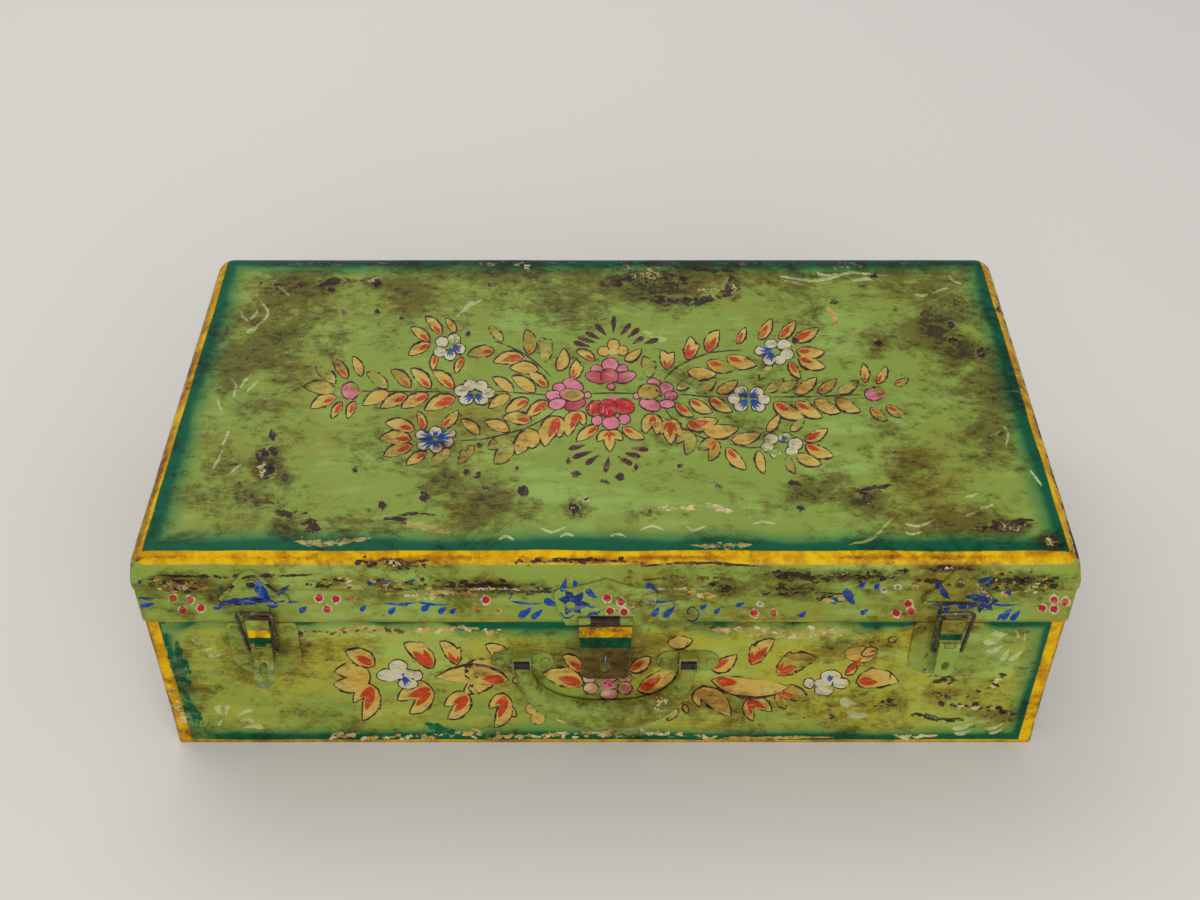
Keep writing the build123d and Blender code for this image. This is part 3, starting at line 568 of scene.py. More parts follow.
def base_colour(s):
    """The base: mustard lime framed in dark green, with yellow corners and a yellow foot."""
    away_x = s.math("ABSOLUTE", s.x)
    away_y = s.math("ABSOLUTE", s.y)
    long_side = s.step(away_y, BASE_Y - 2 * MM, BASE_Y - 1 * MM)
    run = s.sum(
        s.times(s.math("SUBTRACT", BASE_X, away_x), long_side),
        s.times(s.math("SUBTRACT", BASE_Y, away_y), s.rest(long_side)),
    )
    sway = s.sway(38 * MM, 4, 0.6, 15 * MM)
    under_lid = s.math("SUBTRACT", UNDER_LID, s.z)
    under_lid = s.sum(under_lid, (s.step(s.noise(80 * MM, 3, 0.6), 0.50, 0.60), 8 * MM))
    soft = s.sum(s.least(run, s.sum(s.z, 0.004), under_lid), sway)
    colour = ground(s, 0.04, MUSTARD)
    colour = s.mix(s.times(s.step(soft, *BASE_HALO), 0.65), colour, SEA_GREEN)
    whole = s.most(s.step(s.x, *BORDER_WHOLE_FROM), s.step(s.noise(8 * MM, 5, 0.65), 0.50, 0.55))
    colour = s.mix(s.times(s.step(soft, *BASE_BORDER), whole), colour, DEEP_GREEN)
    wobble = s.sway(30 * MM, 2, 0.5, 2.6 * MM)
    corner = s.step(s.sum(run, wobble), *CORNER_YELLOW)
    foot = s.step(s.sum(s.z, wobble), *FOOT_YELLOW)
    colour = s.mix(s.most(corner, foot), colour, golden(s))
    handled = s.times(s.step(run, *CORNER_HANDLED), s.step(s.noise(14 * MM, 5, 0.7), 0.42, 0.56))
    return s.mix(s.times(handled, 0.8), colour, BROWN_OLIVE)


def painted_sheet(name, colour):
    """Aged paint on bare sheet, coloured by colour(shader)."""
    s = Shader(name)
    return age(s, colour(s), s.field("wear"), s.field("grime"))


def brushwork(name, colour):
    """Paint of the strokes, with the ground showing where a stroke has worn away."""
    s = Shader(name)
    flake = s.noise(4.5 * MM, 6, 0.75)
    thin = s.field("paint", "Alpha")
    worn = s.step(s.sum(flake, (thin, 0.36), (s.field("wear"), 0.2)), 0.62, 0.68)
    streak = s.noise(2.5 * MM, 4, 0.65, stretch=(0.5, 1, 1))
    own = s.mix(s.times(s.step(streak, 0.50, 0.66), 0.22), s.field("paint", "Color"), CREAM)
    own = s.mix(s.times(s.step(streak, 0.48, 0.34), 0.42), own, BROWN_OLIVE)
    paint = s.mix(worn, own, colour(s))
    return age(s, paint, s.times(s.field("wear"), 0.9), s.times(s.field("grime"), 0.6))


def inside_tin():
    """Bare tinplate inside, gone grey and spotted with rust."""
    s = Shader("inside_tin")
    cloud = s.noise(30 * MM, 6, 0.68)
    grain = s.noise(2.5 * MM, 4, 0.7)
    colour = s.mix(cloud, TIN_PALE, TIN_DARK)
    colour = s.mix(s.step(s.sum((cloud, 0.5), (grain, 0.6)), 0.59, 0.68), colour, RUST)
    rough = s.sum(0.35, (grain, 0.3))
    return s.finish(colour, 0.7, rough, s.sum((cloud, 0.5), (grain, 0.3)), 0.1 * MM)


def fitting(name, warm=0.04, bands=(), wear=0.10, grime=0.4, rubbed=1.6, proud=False, rim=None):
    """Painted ironwork, rubbed through along its edges. Bands are (low, high, colour), heights
    in millimetres; with proud set they only show on what stands well in front of the wall.
    What stands in front of rim is rubbed too."""
    s = Shader(name)
    colour = ground(s, warm)
    forward = s.step(s.y, TONGUE_FRONT + 0.5 * MM, TONGUE_FRONT - 0.5 * MM) if proud else 1.0
    for low, high, tone in bands:
        band = s.band(s.z, low * MM, high * MM, 0.3 * MM)
        colour = s.mix(s.times(band, forward), colour, tone)
    worn_edges = s.sum(wear, (s.edges(1.1 * MM), rubbed))
    if rim is not None:
        worn_edges = s.sum(worn_edges, (s.step(s.y, rim + 0.2 * MM, rim - 0.2 * MM), 0.40))
    return age(s, colour, worn_edges, grime, 0.34)


def steel(name, dark, light, rust):
    """Bare iron, darkened by handling, with rust in the pits, painted glints in its grain and pale edges,
    partly rubbed metal and partly a painted highlight.
    """
    s = Shader(name)
    cloud = s.noise(6 * MM, 5, 0.68)
    grain = s.noise(1.2 * MM, 3, 0.6)
    colour = s.mix(s.step(cloud, 0.38, 0.62), light, dark)
    colour = s.mix(s.times(s.step(cloud, 0.52, 0.62), rust), colour, RUST)
    # Painted glints on the grain, then pale edges: partly rubbed metal, partly a painted highlight.
    colour = s.mix(s.times(s.step(grain, 0.55, 0.66), 0.5), colour, IRON_GLINT)
    colour = s.mix(s.times(s.step(s.edges(0.8 * MM), 0.05, 0.3), 0.5), colour, IRON_EDGE_RUB_AND_HIGHLIGHT)
    return s.finish(colour, 0.75, s.sum(0.26, (grain, 0.3)), s.sum(cloud, (grain, 0.5)), 0.12 * MM)


INSIDE = inside_tin()
LID_PAINT = painted_sheet("lid_paint", lid_colour)
BASE_PAINT = painted_sheet("base_paint", base_colour)


# ---------------------------------------------------------------- wear fields
# Each patch is (u, v, reach across, reach down, strength) in the photograph.
TOP_WEAR = (
    (655, 276, 34, 10, 0.46), (690, 292, 40, 8, 0.42), (630, 268, 40, 6, 0.42), (734, 290, 5, 10, 0.48),
    (700, 264, 60, 4, 0.35), (264, 470, 12, 12, 0.40), (280, 478, 10, 8, 0.42), (290, 528, 22, 10, 0.38),
    (262, 440, 8, 8, 0.30), (572, 510, 8, 7, 0.50), (586, 500, 10, 6, 0.44), (646, 513, 20, 5, 0.36),
    (950, 330, 10, 8, 0.30), (984, 356, 10, 8, 0.3), (863, 498, 18, 8, 0.42), (800, 488, 18, 6, 0.24),
    (1004, 526, 26, 5, 0.40), (1050, 541, 10, 7, 0.5), (320, 538, 30, 6, 0.34), (416, 516, 26, 3, 0.42),
    (373, 283, 9, 6, 0.42), (300, 280, 50, 7, 0.30), (250, 286, 20, 10, 0.24), (860, 268, 70, 4, 0.3),
    (500, 264, 80, 4, 0.36), (540, 268, 50, 6, 0.32), (716, 488, 14, 5, 0.34), (700, 506, 26, 6, 0.34),
    (220, 505, 12, 10, 0.22), (182, 520, 16, 8, 0.2), (727, 545, 24, 6, 0.32), (463, 316, 14, 8, 0.24),
)
FRONT_WEAR = (
    (178, 586, 24, 4, 0.40), (330, 586, 24, 5, 0.34), (395, 563, 34, 5, 0.42), (495, 588, 52, 4, 0.44),
    (400, 588, 40, 8, 0.28), (422, 597, 14, 3, 0.36), (570, 560, 50, 2.5, 0.40), (640, 574, 60, 3, 0.26),
    (700, 589, 60, 4, 0.26), (840, 575, 66, 4, 0.46), (800, 590, 26, 5, 0.40), (950, 568, 22, 3, 0.44),
    (1024, 583, 34, 8, 0.38), (560, 556, 60, 3, 0.26), (790, 632, 50, 5, 0.34), (700, 628, 50, 4, 0.2),
    (470, 631, 60, 5, 0.26), (943, 695, 12, 4, 0.34), (972, 695, 8, 3, 0.30), (180, 700, 8, 20, 0.26),
    (620, 734, 110, 4, 0.38), (900, 736, 80, 3, 0.28), (420, 736, 70, 3, 0.36), (1050, 560, 20, 6, 0.3),
    (150, 562, 10, 8, 0.2), (720, 586, 16, 6, 0.34), (940, 717, 26, 3, 0.30), (1012, 710, 8, 4, 0.30),
)
TOP_GRIME = (
    (656, 286, 62, 20, 1.0), (734, 290, 7, 12, 1.0), (300, 284, 42, 14, 0.85), (373, 284, 10, 8, 0.9),
    (934, 326, 26, 24, 0.9), (962, 350, 20, 18, 0.85), (950, 300, 46, 34, 0.6), (990, 400, 34, 70, 0.5),
    (266, 468, 18, 16, 1.0), (280, 478, 12, 10, 1.0), (288, 528, 22, 14, 1.0), (252, 500, 40, 34, 0.55),
    (806, 492, 18, 12, 0.75), (862, 500, 22, 12, 1.0), (1002, 527, 34, 8, 1.0), (1050, 541, 16, 12, 1.0),
    (478, 502, 42, 22, 0.6), (574, 508, 18, 10, 0.9), (646, 513, 24, 8, 0.5), (560, 290, 60, 30, 0.45),
    (500, 272, 110, 12, 0.6), (820, 276, 120, 14, 0.4), (270, 330, 50, 40, 0.45), (820, 300, 60, 14, 0.35),
    (900, 460, 60, 50, 0.35), (440, 484, 26, 14, 0.6), (360, 524, 60, 14, 0.4), (330, 340, 60, 20, 0.35),
    (230, 350, 20, 60, 0.35), (225, 470, 40, 60, 0.3), (760, 430, 50, 20, 0.2), (930, 520, 60, 16, 0.45),
    (400, 290, 40, 20, 0.4), (890, 340, 40, 20, 0.4),
)
FRONT_GRIME = (
    (270, 655, 36, 26, 0.8), (240, 640, 24, 16, 0.4), (200, 690, 30, 30, 0.2), (948, 655, 40, 26, 0.3),
    (940, 695, 40, 10, 0.4), (880, 705, 60, 14, 0.4), (600, 588, 320, 8, 0.35), (178, 585, 34, 9, 1.0),
    (495, 588, 56, 8, 1.0), (840, 576, 70, 7, 1.0), (800, 590, 30, 8, 0.9), (1024, 584, 36, 10, 0.9),
    (396, 562, 36, 7, 0.9), (405, 588, 46, 12, 0.6), (950, 568, 26, 4, 0.9), (220, 592, 60, 10, 0.4),
    (600, 650, 60, 24, 0.6), (540, 660, 60, 20, 0.4), (700, 700, 110, 14, 0.25), (570, 560, 60, 4, 0.8),
    (725, 588, 20, 10, 0.7), (1000, 715, 40, 10, 0.5), (860, 648, 60, 16, 0.4), (330, 586, 24, 8, 0.6),
)


def patches(u, v, spots):
    """The strongest of the patches at each pixel, fading out from their centres."""
    total = np.zeros(len(u))
    for at_u, at_v, across, down, strength in spots:
        falloff = ((u - at_u) / across) ** 2 + ((v - at_v) / down) ** 2
        total = np.maximum(total, strength * np.exp(-falloff))
    return total


def wear_fields(points):
    """How worn and how grimy the paint is at each point, from 0 up."""
    u, v = photo_pixels(points)
    x, y, z = points.T
    on_top = z > TOP_HIGH - 2.5 * MM
    in_front = ~on_top & (y < -BASE_Y + 4 * MM)
    elsewhere = ~on_top & ~in_front
    cloud = waves(points, 0.12, 31)
    wear = np.where(on_top, patches(u, v, TOP_WEAR), 0.0)
    wear = np.where(in_front, patches(u, v, FRONT_WEAR), wear)
    wear = np.where(elsewhere, 0.10 + 0.10 * cloud, wear)
    grime = np.where(on_top, patches(u, v, TOP_GRIME), 0.0)
    grime = np.where(in_front, 0.04 + patches(u, v, FRONT_GRIME), grime)
    grime = np.where(elsewhere, 0.3 + 0.3 * cloud, grime)
    high = z > TOP_HIGH - 10 * MM
    roll_left = high & (x < -TOP_X + 5 * MM)
    roll_right = high & (x > TOP_X - 6 * MM)
    wear = np.where(roll_left, np.maximum(wear, 0.36 + 0.25 * np.clip(cloud, -1, 1)), wear)
    wear = np.where(roll_right, np.maximum(wear, 0.50 + 0.18 * np.clip(cloud, -1, 1)), wear)
    back_roll = high & (TOP_Y - y < 6 * MM)
    wear = np.where(back_roll, np.maximum(wear, 0.36 + 0.15 * cloud), wear)
    lap_edge = np.abs(z - TOP_LOW) < 2 * MM
    return np.where(lap_edge, wear + 0.14, wear), grime


def store_wear(mesh):
    """Stores both wear fields on the mesh, for the shaders to read."""
    flat = np.zeros(len(mesh.vertices) * 3)
    mesh.vertices.foreach_get("co", flat)
    for name, values in zip(("wear", "grime"), wear_fields(flat.reshape(-1, 3))):
        layer = mesh.attributes.new(name, "FLOAT", "POINT")
        layer.data.foreach_set("value", values.astype(np.float32))


# --------------------------------------------------------------- the shells
def make_lid_top():
    """The pressed top: upright lap, a side that leans in, a rolled edge and a flat cap."""
    shell = Shell(TOP_X, TOP_Y)
    climb_per_rise = math.tan(LEAN)

    def corner(z):
        share = max(0.0, (z - SKIRT_HIGH) / (TOP_HIGH - SKIRT_HIGH))
        return TOP_CORNER_LOW + (TOP_CORNER_HIGH - TOP_CORNER_LOW) * share

    turn = math.pi / 2 - LEAN
    tangent = EDGE_ROLL * math.tan(turn / 2)
    roll_start = TOP_HIGH - tangent * math.cos(LEAN)
    levels = [(0.0, TOP_LOW), (0.0, TOP_LOW + 1.5 * MM), (0.0, SKIRT_HIGH)]
    rise = roll_start - SKIRT_HIGH
    for k in (1, 2, 3):
        z = SKIRT_HIGH + rise * k / 3
        levels.append(((z - SKIRT_HIGH) * climb_per_rise, z))
    start_inset = levels[-1][0]
    centre_inset = start_inset + EDGE_ROLL * math.cos(LEAN)
    centre_z = TOP_HIGH - EDGE_ROLL
    roll_steps = 9
    for k in range(1, roll_steps + 1):
        angle = LEAN + turn * k / roll_steps
        levels.append((centre_inset - EDGE_ROLL * math.cos(angle), centre_z + EDGE_ROLL * math.sin(angle)))
    for inset, z in levels:
        rolled_in = max(0.0, inset - start_inset)
        radius = max(0.4 * MM, corner(z) - rolled_in)
        shell.ring(TOP_X - inset, TOP_Y - inset, radius, z)
    inset = levels[-1][0] + 2 * MM
    shell.cap(TOP_X - inset, TOP_Y - inset, TOP_HIGH)
    piece = shell.build("lid_top_shell", lid_top_shift, SHEET, LID_PAINT, INSIDE)
    store_wear(piece.data)
    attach(piece, "lid")
    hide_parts("lid_top")
    return piece


def make_lid_skirt():
    """The lid's straight band below the pressed top."""
    shell = Shell(SKIRT_X, SKIRT_Y)
    steps = 10
    for k in range(steps + 1):
        z = SKIRT_LOW + (SKIRT_HIGH - SKIRT_LOW) * k / steps
        shell.ring(SKIRT_X, SKIRT_Y, BASE_CORNER + 1.5 * MM, z)
    piece = shell.build("lid_skirt_shell", skirt_shift, SHEET * 0.9, LID_PAINT, INSIDE)
    store_wear(piece.data)
    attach(piece, "lid")
    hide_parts("lid_skirt")
    return piece


def make_base_wall():
    """The base's wall, with its rim folded inwards."""
    shell = Shell(BASE_X, BASE_Y)
    steps = 44
    for k in range(steps + 1):
        shell.ring(BASE_X, BASE_Y, BASE_CORNER, BASE_LOW + (BASE_HIGH - BASE_LOW) * k / steps)
    shell.ring(BASE_X - RIM_FOLD, BASE_Y - RIM_FOLD, BASE_CORNER / 2, BASE_HIGH)
    piece = shell.build("base_wall_shell", base_shift, SHEET, BASE_PAINT, INSIDE)
    store_wear(piece.data)
    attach(piece, "base")
    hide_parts("base_wall")
    return piece


lid_top = make_lid_top()
lid_skirt = make_lid_skirt()
base_wall = make_base_wall()


# --------------------------------------------------------------- brush strokes
# Leaves: colour at the base, colour at the tip, colour brushed in from the base, and how worn.
LOOKS = {
    "warm": (LEAF_OCHRE, LEAF_PALE, FLAME, 0.02),
    "plain": (LEAF_OCHRE, LEAF_PALE, None, 0.04),
    "red": (LEAF_OCHRE, LEAF_PALE, FLAME, 0.02),
    "faint": (LEAF_PALE, OLIVE, None, 0.30),
    "worn": (LEAF_OCHRE, OLIVE, FLAME, 0.20),
}


def smooth(points, count=11):
    """A smooth line of count points through the given ones."""
    knots = [np.array(point, float) for point in points]
    if len(knots) == 2:
        return np.array([knots[0] + (knots[1] - knots[0]) * k / (count - 1) for k in range(count)])
    knots = [2 * knots[0] - knots[1]] + knots + [2 * knots[-1] - knots[-2]]
    spans = len(knots) - 3
    line = []
    for k in range(count):
        place = k / (count - 1) * spans
        span = min(int(place), spans - 1)
        t = place - span
        a, b, c, d = knots[span : span + 4]
        bend = (2 * a - 5 * b + 4 * c - d) * t**2 + (3 * b - a - 3 * c + d) * t**3
        line.append(0.5 * (2 * b + (c - a) * t + bend))
    return np.array(line)


class Canvas:
    """Draws strokes in flat coordinates and drops them along rays onto one body's sheets.

    Across runs to the right and down runs down: pixels of the photograph where the rays come
    from the camera, millimetres on the ends and the back. Widths are in the same measure."""

    LAYER = 0.012 * MM
    JUMP = 12.0 * MM
    BROADEST = 9.0
    LONGEST_FLUSH = 26.0
    BROADEST_FLUSH = 6.0
    LEAF_BEND = 0.07
    LEAF_EDGE = 1.45
    CLEFT_EDGE = 1.5
    PETAL_EDGE = 1.2

    def __init__(self, name, body, pieces, ray):
        corners, faces = [], []
        for piece in pieces:
            first = len(corners)
            corners += [piece.matrix_world @ vertex.co for vertex in piece.data.vertices]
            faces += [[first + corner for corner in face.vertices] for face in piece.data.polygons]
        self.tree = BVHTree.FromPolygons(corners, faces)
        self.name, self.body, self.ray = name, body, ray
        self.points, self.faces, self.paint = [], [], []
        self.hand = np.random.default_rng(len(name))
        self.level = 0.0

    def start(self, level):
        """The next stroke lies this many millimetres above the sheet, later ones a layer higher."""
        self.level = level * MM

    def each(self, level, stroke, rows, *rest):
        """Draws a stroke from every row, each of them starting at the level."""
        for row in rows:
            self.start(level)
            stroke(*row, *rest)

    def stack(self, level, stroke, rows, *rest):
        """Draws a stroke from every row, each over the last, the first one at the level."""
        self.start(level)
        for row in rows:
            stroke(*row, *rest)

    def drop(self, across, down):
        """Where the ray meets the sheet, raised to the present level, and how far along the ray
        that is; None where it misses."""
        origin, direction = self.ray(across, down)
        hit, normal, _, distance = self.tree.ray_cast(origin, direction)
        if hit is None:
            return None
        if normal.dot(direction) > 0:
            normal = -normal
        return hit + normal * self.level, distance

    def ribbon(self, spine, widths, tone, end_tone=None, thin=0.0, columns=5, fray=0.08, shake=0.07):
        """A stroke along the spine, widths to each side of it; fray is how much thinner its paint
        gets towards the edges, shake how uneven its outline is."""
        end_tone = end_tone or tone
        spine = np.array(spine, float)
        along = np.gradient(spine, axis=0)
        along /= np.linalg.norm(along, axis=1)[:, None] + 1e-9
        sideways = np.stack([-along[:, 1], along[:, 0]], axis=1)
        uneven = 1 + shake * self.hand.normal(size=(len(spine), 2))
        rows = []
        for k, (place, side, half) in enumerate(zip(spine, sideways, widths)):
            share = k / (len(spine) - 1)
            tint = [a + (b - a) * share for a, b in zip(tone, end_tone)]
            near_end = abs(2 * share - 1) ** 4
            row = []
            for column in np.linspace(-1, 1, columns):
                reach = half * uneven[k, int(column > 0)] * column
                bare = thin + fray * max(column**2, near_end)
                found = self.drop(*(place + side * reach))
                if found is None:
                    row.append(None)
                    continue
                row.append((len(self.points), found[1]))
                self.points.append(tuple(found[0]))
                self.paint += [*tint, bare]
            rows.append(row)
        for row, following in zip(rows, rows[1:]):
            for k in range(columns - 1):
                face = [row[k], row[k + 1], following[k + 1], following[k]]
                if None in face:
                    continue
                depths = [corner[1] for corner in face]
                if max(depths) - min(depths) < self.JUMP:
                    self.faces.append([corner[0] for corner in face])
        self.level += self.LAYER

    def line(self, points, width, tone, thin, count=None):
        """A line of even width with thin ends."""
        count = count or max(9, 6 * len(points))
        half = width / 2 * np.sin(math.pi * np.linspace(0, 1, count)) ** 0.3 + 0.02
        self.ribbon(smooth(points, count), half, tone, None, thin, 3)

    def blade(self, start, end, width, tone, thin=0.0, bend=0.0):
        """A comma stroke: full near its start and drawn out to a point."""
        spine, _ = self.bow(start, end, bend, 9)
        t = np.linspace(0, 1, len(spine))
        half = width / 2 * np.sin(math.pi * t**0.6) ** 0.8 + 0.02
        self.ribbon(spine, half, tone, None, thin, 3)

    def bow(self, start, end, bend, count=11):
        """Points from start to end, bowed sideways by bend times the distance, and that distance."""
        start, end = np.array(start, float), np.array(end, float)
        run = end - start
        length = np.linalg.norm(run)
        side = np.array([-run[1], run[0]]) * bend
        t = np.linspace(0, 1, count)[:, None]
        return start + run * t + side * np.sin(math.pi * t), length

    def lobe(self, start, end, wide, bend, grow, tone, end_tone, thin):
        """A leaf-shaped patch, grown all round for its outline."""
        spine, length = self.bow(start, end, bend)
        along = (spine[-1] - spine[0]) / max(length, 1e-6)
        spine = spine + along * grow * np.linspace(-1, 1, len(spine))[:, None]
        t = np.linspace(0, 1, len(spine))
        broad = min(wide * length / 2, self.BROADEST)
        half = broad * np.sin(math.pi * t**0.85) ** 0.75 + grow * np.sin(math.pi * t) ** 0.35
        self.ribbon(spine, half + 0.02, tone, end_tone, thin, 5, 0.03)

    def flush(self, base, tip, look, sides):
        """Red brushed in from the base of a leaf."""
        streak, thin = LOOKS[look][2:]
        if streak is None:
            return
        base, tip = np.array(base, float), np.array(tip, float)
        length = math.dist(base, tip)
        reach, broad = (0.72, 0.15) if look == "red" else (0.52, 0.10)
        end = base + (tip - base) * min(reach, self.LONGEST_FLUSH / length)
        width = min(broad * length, self.BROADEST_FLUSH)
        for side in sides:
            self.blade(base + (tip - base) * 0.05, end, width, streak, thin, side)

    def leaf(self, base, tip, look, wide=0.40):
        """A pointed leaf: its outline, its fill and the red at its base."""
        fill, tip_fill, _, thin = LOOKS[look]
        self.lobe(base, tip, wide, self.LEAF_BEND, self.LEAF_EDGE, INK, INK, thin)
        self.lobe(base, tip, wide, self.LEAF_BEND * 0.7, 0.0, fill, tip_fill, thin)
        self.flush(base, tip, look, (-0.06, 0.09))

    def cleft(self, base, tips, look, wide=0.52):
        """A notched leaf: lobes that share one outline and one base."""
        fill, tip_fill, _, thin = LOOKS[look]
        bends = np.linspace(0.10, -0.10, len(tips))
        for tip, bend in zip(tips, bends):
            self.lobe(base, tip, wide, bend, self.CLEFT_EDGE, INK, INK, thin)
        for tip, bend in zip(tips, bends):
            self.lobe(base, tip, wide, bend, 0.0, fill, tip_fill, thin)
        for tip in tips:
            self.flush(base, tip, look, (-0.10, 0.06))

    def blob(self, centre, across, down, turn, tone, end_tone=None, thin=0.0, fray=0.08, shake=0.07):
        """An oval with the given half sizes, turned by so many degrees."""
        t = -np.cos(np.linspace(0, math.pi, 9))
        angle = math.radians(turn)
        axis = np.array([math.cos(angle), math.sin(angle)])
        spine = np.array(centre, float) + axis * (across * t)[:, None]
        half = down * np.sqrt(np.maximum(0, 1 - t**2)) + 0.02
        self.ribbon(spine, half, tone, end_tone, thin, 5, fray, shake)

    def petal(self, centre, across, down, turn, tone, end_tone, thin=0.0, edge=PETAL_EDGE):
        """An oval with an inked edge around it."""
        self.blob(centre, across + edge, down + edge, turn, INK, None, thin)
        self.blob(centre, across, down, turn, tone, end_tone, thin)

    def blossom(self, centre, petals, streaks):
        """A white flower. Petals are (across, down, half width, half height, thin), counted from
        the centre; streaks are the numbers of the petals with blue in them."""
        centre = np.array(centre, float)
        edge = self.PETAL_EDGE
        for across, down, wide, high, thin in petals:
            self.blob(centre + (across, down), wide + edge, high + edge, 0, INK, None, thin)
        for across, down, wide, high, thin in petals:
            self.blob(centre + (across, down), wide, high, 0, WHITE, CREAM, thin)
        for number in streaks:
            across, down = petals[number][:2]
            for spread in (-0.28, 0.0, 0.28):
                aim = np.array([across - down * spread, down + across * spread])
                self.blade(centre + aim * 0.18, centre + aim * 1.15, 2.6, BLUE)

    def dot(self, centre, radius, thin):
        """A red berry with a ragged white rim."""
        aside = self.hand.uniform(-0.5, 0.5, 2)
        ring, ring_down = radius + 1.3, (radius + 1.2) * 0.92
        self.blob(centre + aside, ring, ring_down, 0, WHITE, CREAM, thin + 0.16, 0.18, 0.16)
        self.blob(centre, radius, radius * 0.92, 0, RED, None, thin, 0.1, 0.12)

    def chip(self, centre, across, down, turn):
        """A chip down to the metal, with a ragged rim of primer."""
        aside = self.hand.uniform(-1.0, 1.0, 2)
        rim, rim_down = across + 1.4, down + 0.9
        self.blob(centre + aside, rim, rim_down, turn + 20, PALE_OCHRE, GRIME, 0.2, 0.26, 0.3)
        self.blob(centre, across, down, turn, TARNISH, None, 0.0, 0.12, 0.3)

    def scuff(self, points, width, tone, thin):
        """A long ragged streak where the paint has been rubbed."""
        count = max(14, int(math.dist(points[0], points[-1]) / 4))
        half = width / 2 * np.sin(math.pi * np.linspace(0, 1, count)) ** 0.5
        self.ribbon(smooth(points, count), half, tone, None, thin, 5, 0.2, 0.3)

    def clumps(self, points, spread, count, tones):
        """Scabs of loosened paint strewn along a line."""
        for place in smooth(points, count):
            across = self.hand.uniform(1.6, 4.6)
            down = across * self.hand.uniform(0.3, 0.6)
            tone = tones[self.hand.integers(len(tones))]
            aside = self.hand.normal(size=2) * spread
            turn = self.hand.uniform(-25, 25)
            self.blob(place + aside, across, down, turn, tone, None, 0.06, 0.24, 0.3)

    def finish(self, material):
        """Makes one piece of all the strokes; how thin the paint is goes in the colour's alpha."""
        mesh = bpy.data.meshes.new(self.name)
        mesh.from_pydata(self.points, [], self.faces)
        layer = mesh.attributes.new("paint", "FLOAT_COLOR", "POINT")
        layer.data.foreach_set("color", self.paint)
        mesh.validate()
        mesh.shade_smooth()
        mesh.materials.append(material)
        store_wear(mesh)
        piece = bpy.data.objects.new(self.name, mesh)
        bpy.context.scene.collection.objects.link(piece)
        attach(piece, self.body)


def from_camera(u, v):
    """The ray of the photograph's pixel u, v."""
    return CAMERA_AT, photo_ray(u, v)


# How far out the rays onto the ends and the back start, in metres.
OUTSIDE = 0.5


def from_side(sign):
    """Rays onto an end: sign is the side of x it is on."""

    def ray(across, down):
        origin = Vector((sign * OUTSIDE, sign * across * MM, TOP_HIGH - down * MM))
        return origin, Vector((-sign, 0, 0))

    return ray


def from_back(across, down):
    """The ray onto the back."""
    return Vector((-across * MM, OUTSIDE, TOP_HIGH - down * MM)), Vector((0, -1, 0))


# Places from here to paint_base_front are pixels of the photograph, read off it.
# Leaves are (base, tip, look) and cleft leaves (base, tips, look).
TOP_STEMS = (
    ((352, 391), (400, 391.5), (453, 392)),
    ((494, 391), (520, 393), (548, 395)),
    ((591, 393.5), (613, 393), (635, 393.5)),
    ((680, 394), (705, 396.5), (729, 397)),
    ((771, 397), (815, 396.5), (862, 394.5)),
    ((552, 378), (540, 366), (524, 354), (508, 346), (494, 341)),
    ((663, 381), (672, 371), (684, 363), (706, 354), (725, 351), (743, 350)),
    ((456, 440.5), (480, 439.5), (506, 434), (529, 426.5), (545, 418), (557, 409)),
    ((665, 409), (674.5, 421.5), (686, 430.5), (706, 439), (719, 442.5)),
    ((728.5, 444), (749, 447.5), (762, 447)),
)
LEFT_SPRAY_LEAVES = (
    ((441, 334), (426, 317), "warm"), ((455, 332), (446, 319), "plain"), ((429, 341), (411, 328), "warm"),
    ((430, 344), (409, 355), "warm"), ((436, 354), (433, 370), "red"), ((463, 358), (456, 373), "red"),
    ((387, 388), (367, 373), "faint"), ((410, 387), (391, 370), "worn"), ((430, 388), (411, 369), "warm"),
    ((453, 388), (433, 371), "warm"), ((389, 393), (363, 405), "plain"), ((407, 396), (381, 408), "warm"),
    ((428, 395), (402, 408), "warm"), ((455, 398), (425, 410), "red"), ((513, 392), (493, 378), "plain"),
    ((535, 392), (512, 377), "plain"), ((547, 387), (529, 373), "warm"), ((510, 396), (489, 408), "plain"),
    ((528, 400), (506, 412), "warm"), ((548, 402), (527, 417), "red"), ((494, 351), (468, 355), "worn"),
    ((523, 357), (494, 362), "red"), ((538, 370), (510, 368), "plain"), ((502, 341), (489, 327), "faint"),
    ((335, 383), (316, 368), "faint"), ((347, 378), (333, 360), "worn"), ((361, 376), (353, 357), "plain"),
    ((335, 391), (304, 387), "faint"), ((336, 397), (311, 408), "warm"), ((342, 403), (332, 418), "red"),
    ((355, 402), (348, 418), "red"),
)
RIGHT_SPRAY_LEAVES = (
    ((727, 357), (756, 365), "warm"), ((707, 362), (736, 368), "worn"), ((688, 371), (716, 374), "plain"),
    ((737, 343), (745, 328), "red"), ((759, 339), (771, 319), "red"), ((779, 338), (795, 321), "red"),
    ((794, 340), (818, 328), "red"), ((797, 351), (824, 352), "warm"), ((799, 358), (825, 367), "warm"),
    ((790, 362), (800, 378), "red"), ((772, 366), (760, 379), "faint"), ((677, 389), (693, 377), "faint"),
    ((697, 392), (716, 378), "faint"), ((717, 392), (737, 381), "plain"), ((766, 391), (783, 379), "faint"),
    ((778, 390), (797, 380), "faint"), ((795, 393), (816, 378), "plain"), ((818, 392), (836, 379), "worn"),
    ((838, 392), (858, 381), "faint"), ((676, 404), (693, 416), "red"), ((690, 400), (712, 412), "warm"),
    ((710, 398), (732, 411), "warm"), ((774, 403), (804, 418), "warm"), ((796, 402), (822, 417), "warm"),
    ((815, 400), (840, 412), "plain"), ((836, 399), (860, 411), "plain"), ((865, 382), (863, 364), "warm"),
    ((877, 383), (886, 367), "warm"), ((895, 384), (908, 379), "worn"), ((871, 408), (887, 420), "worn"),
    ((887, 406), (906, 416), "worn"),
)
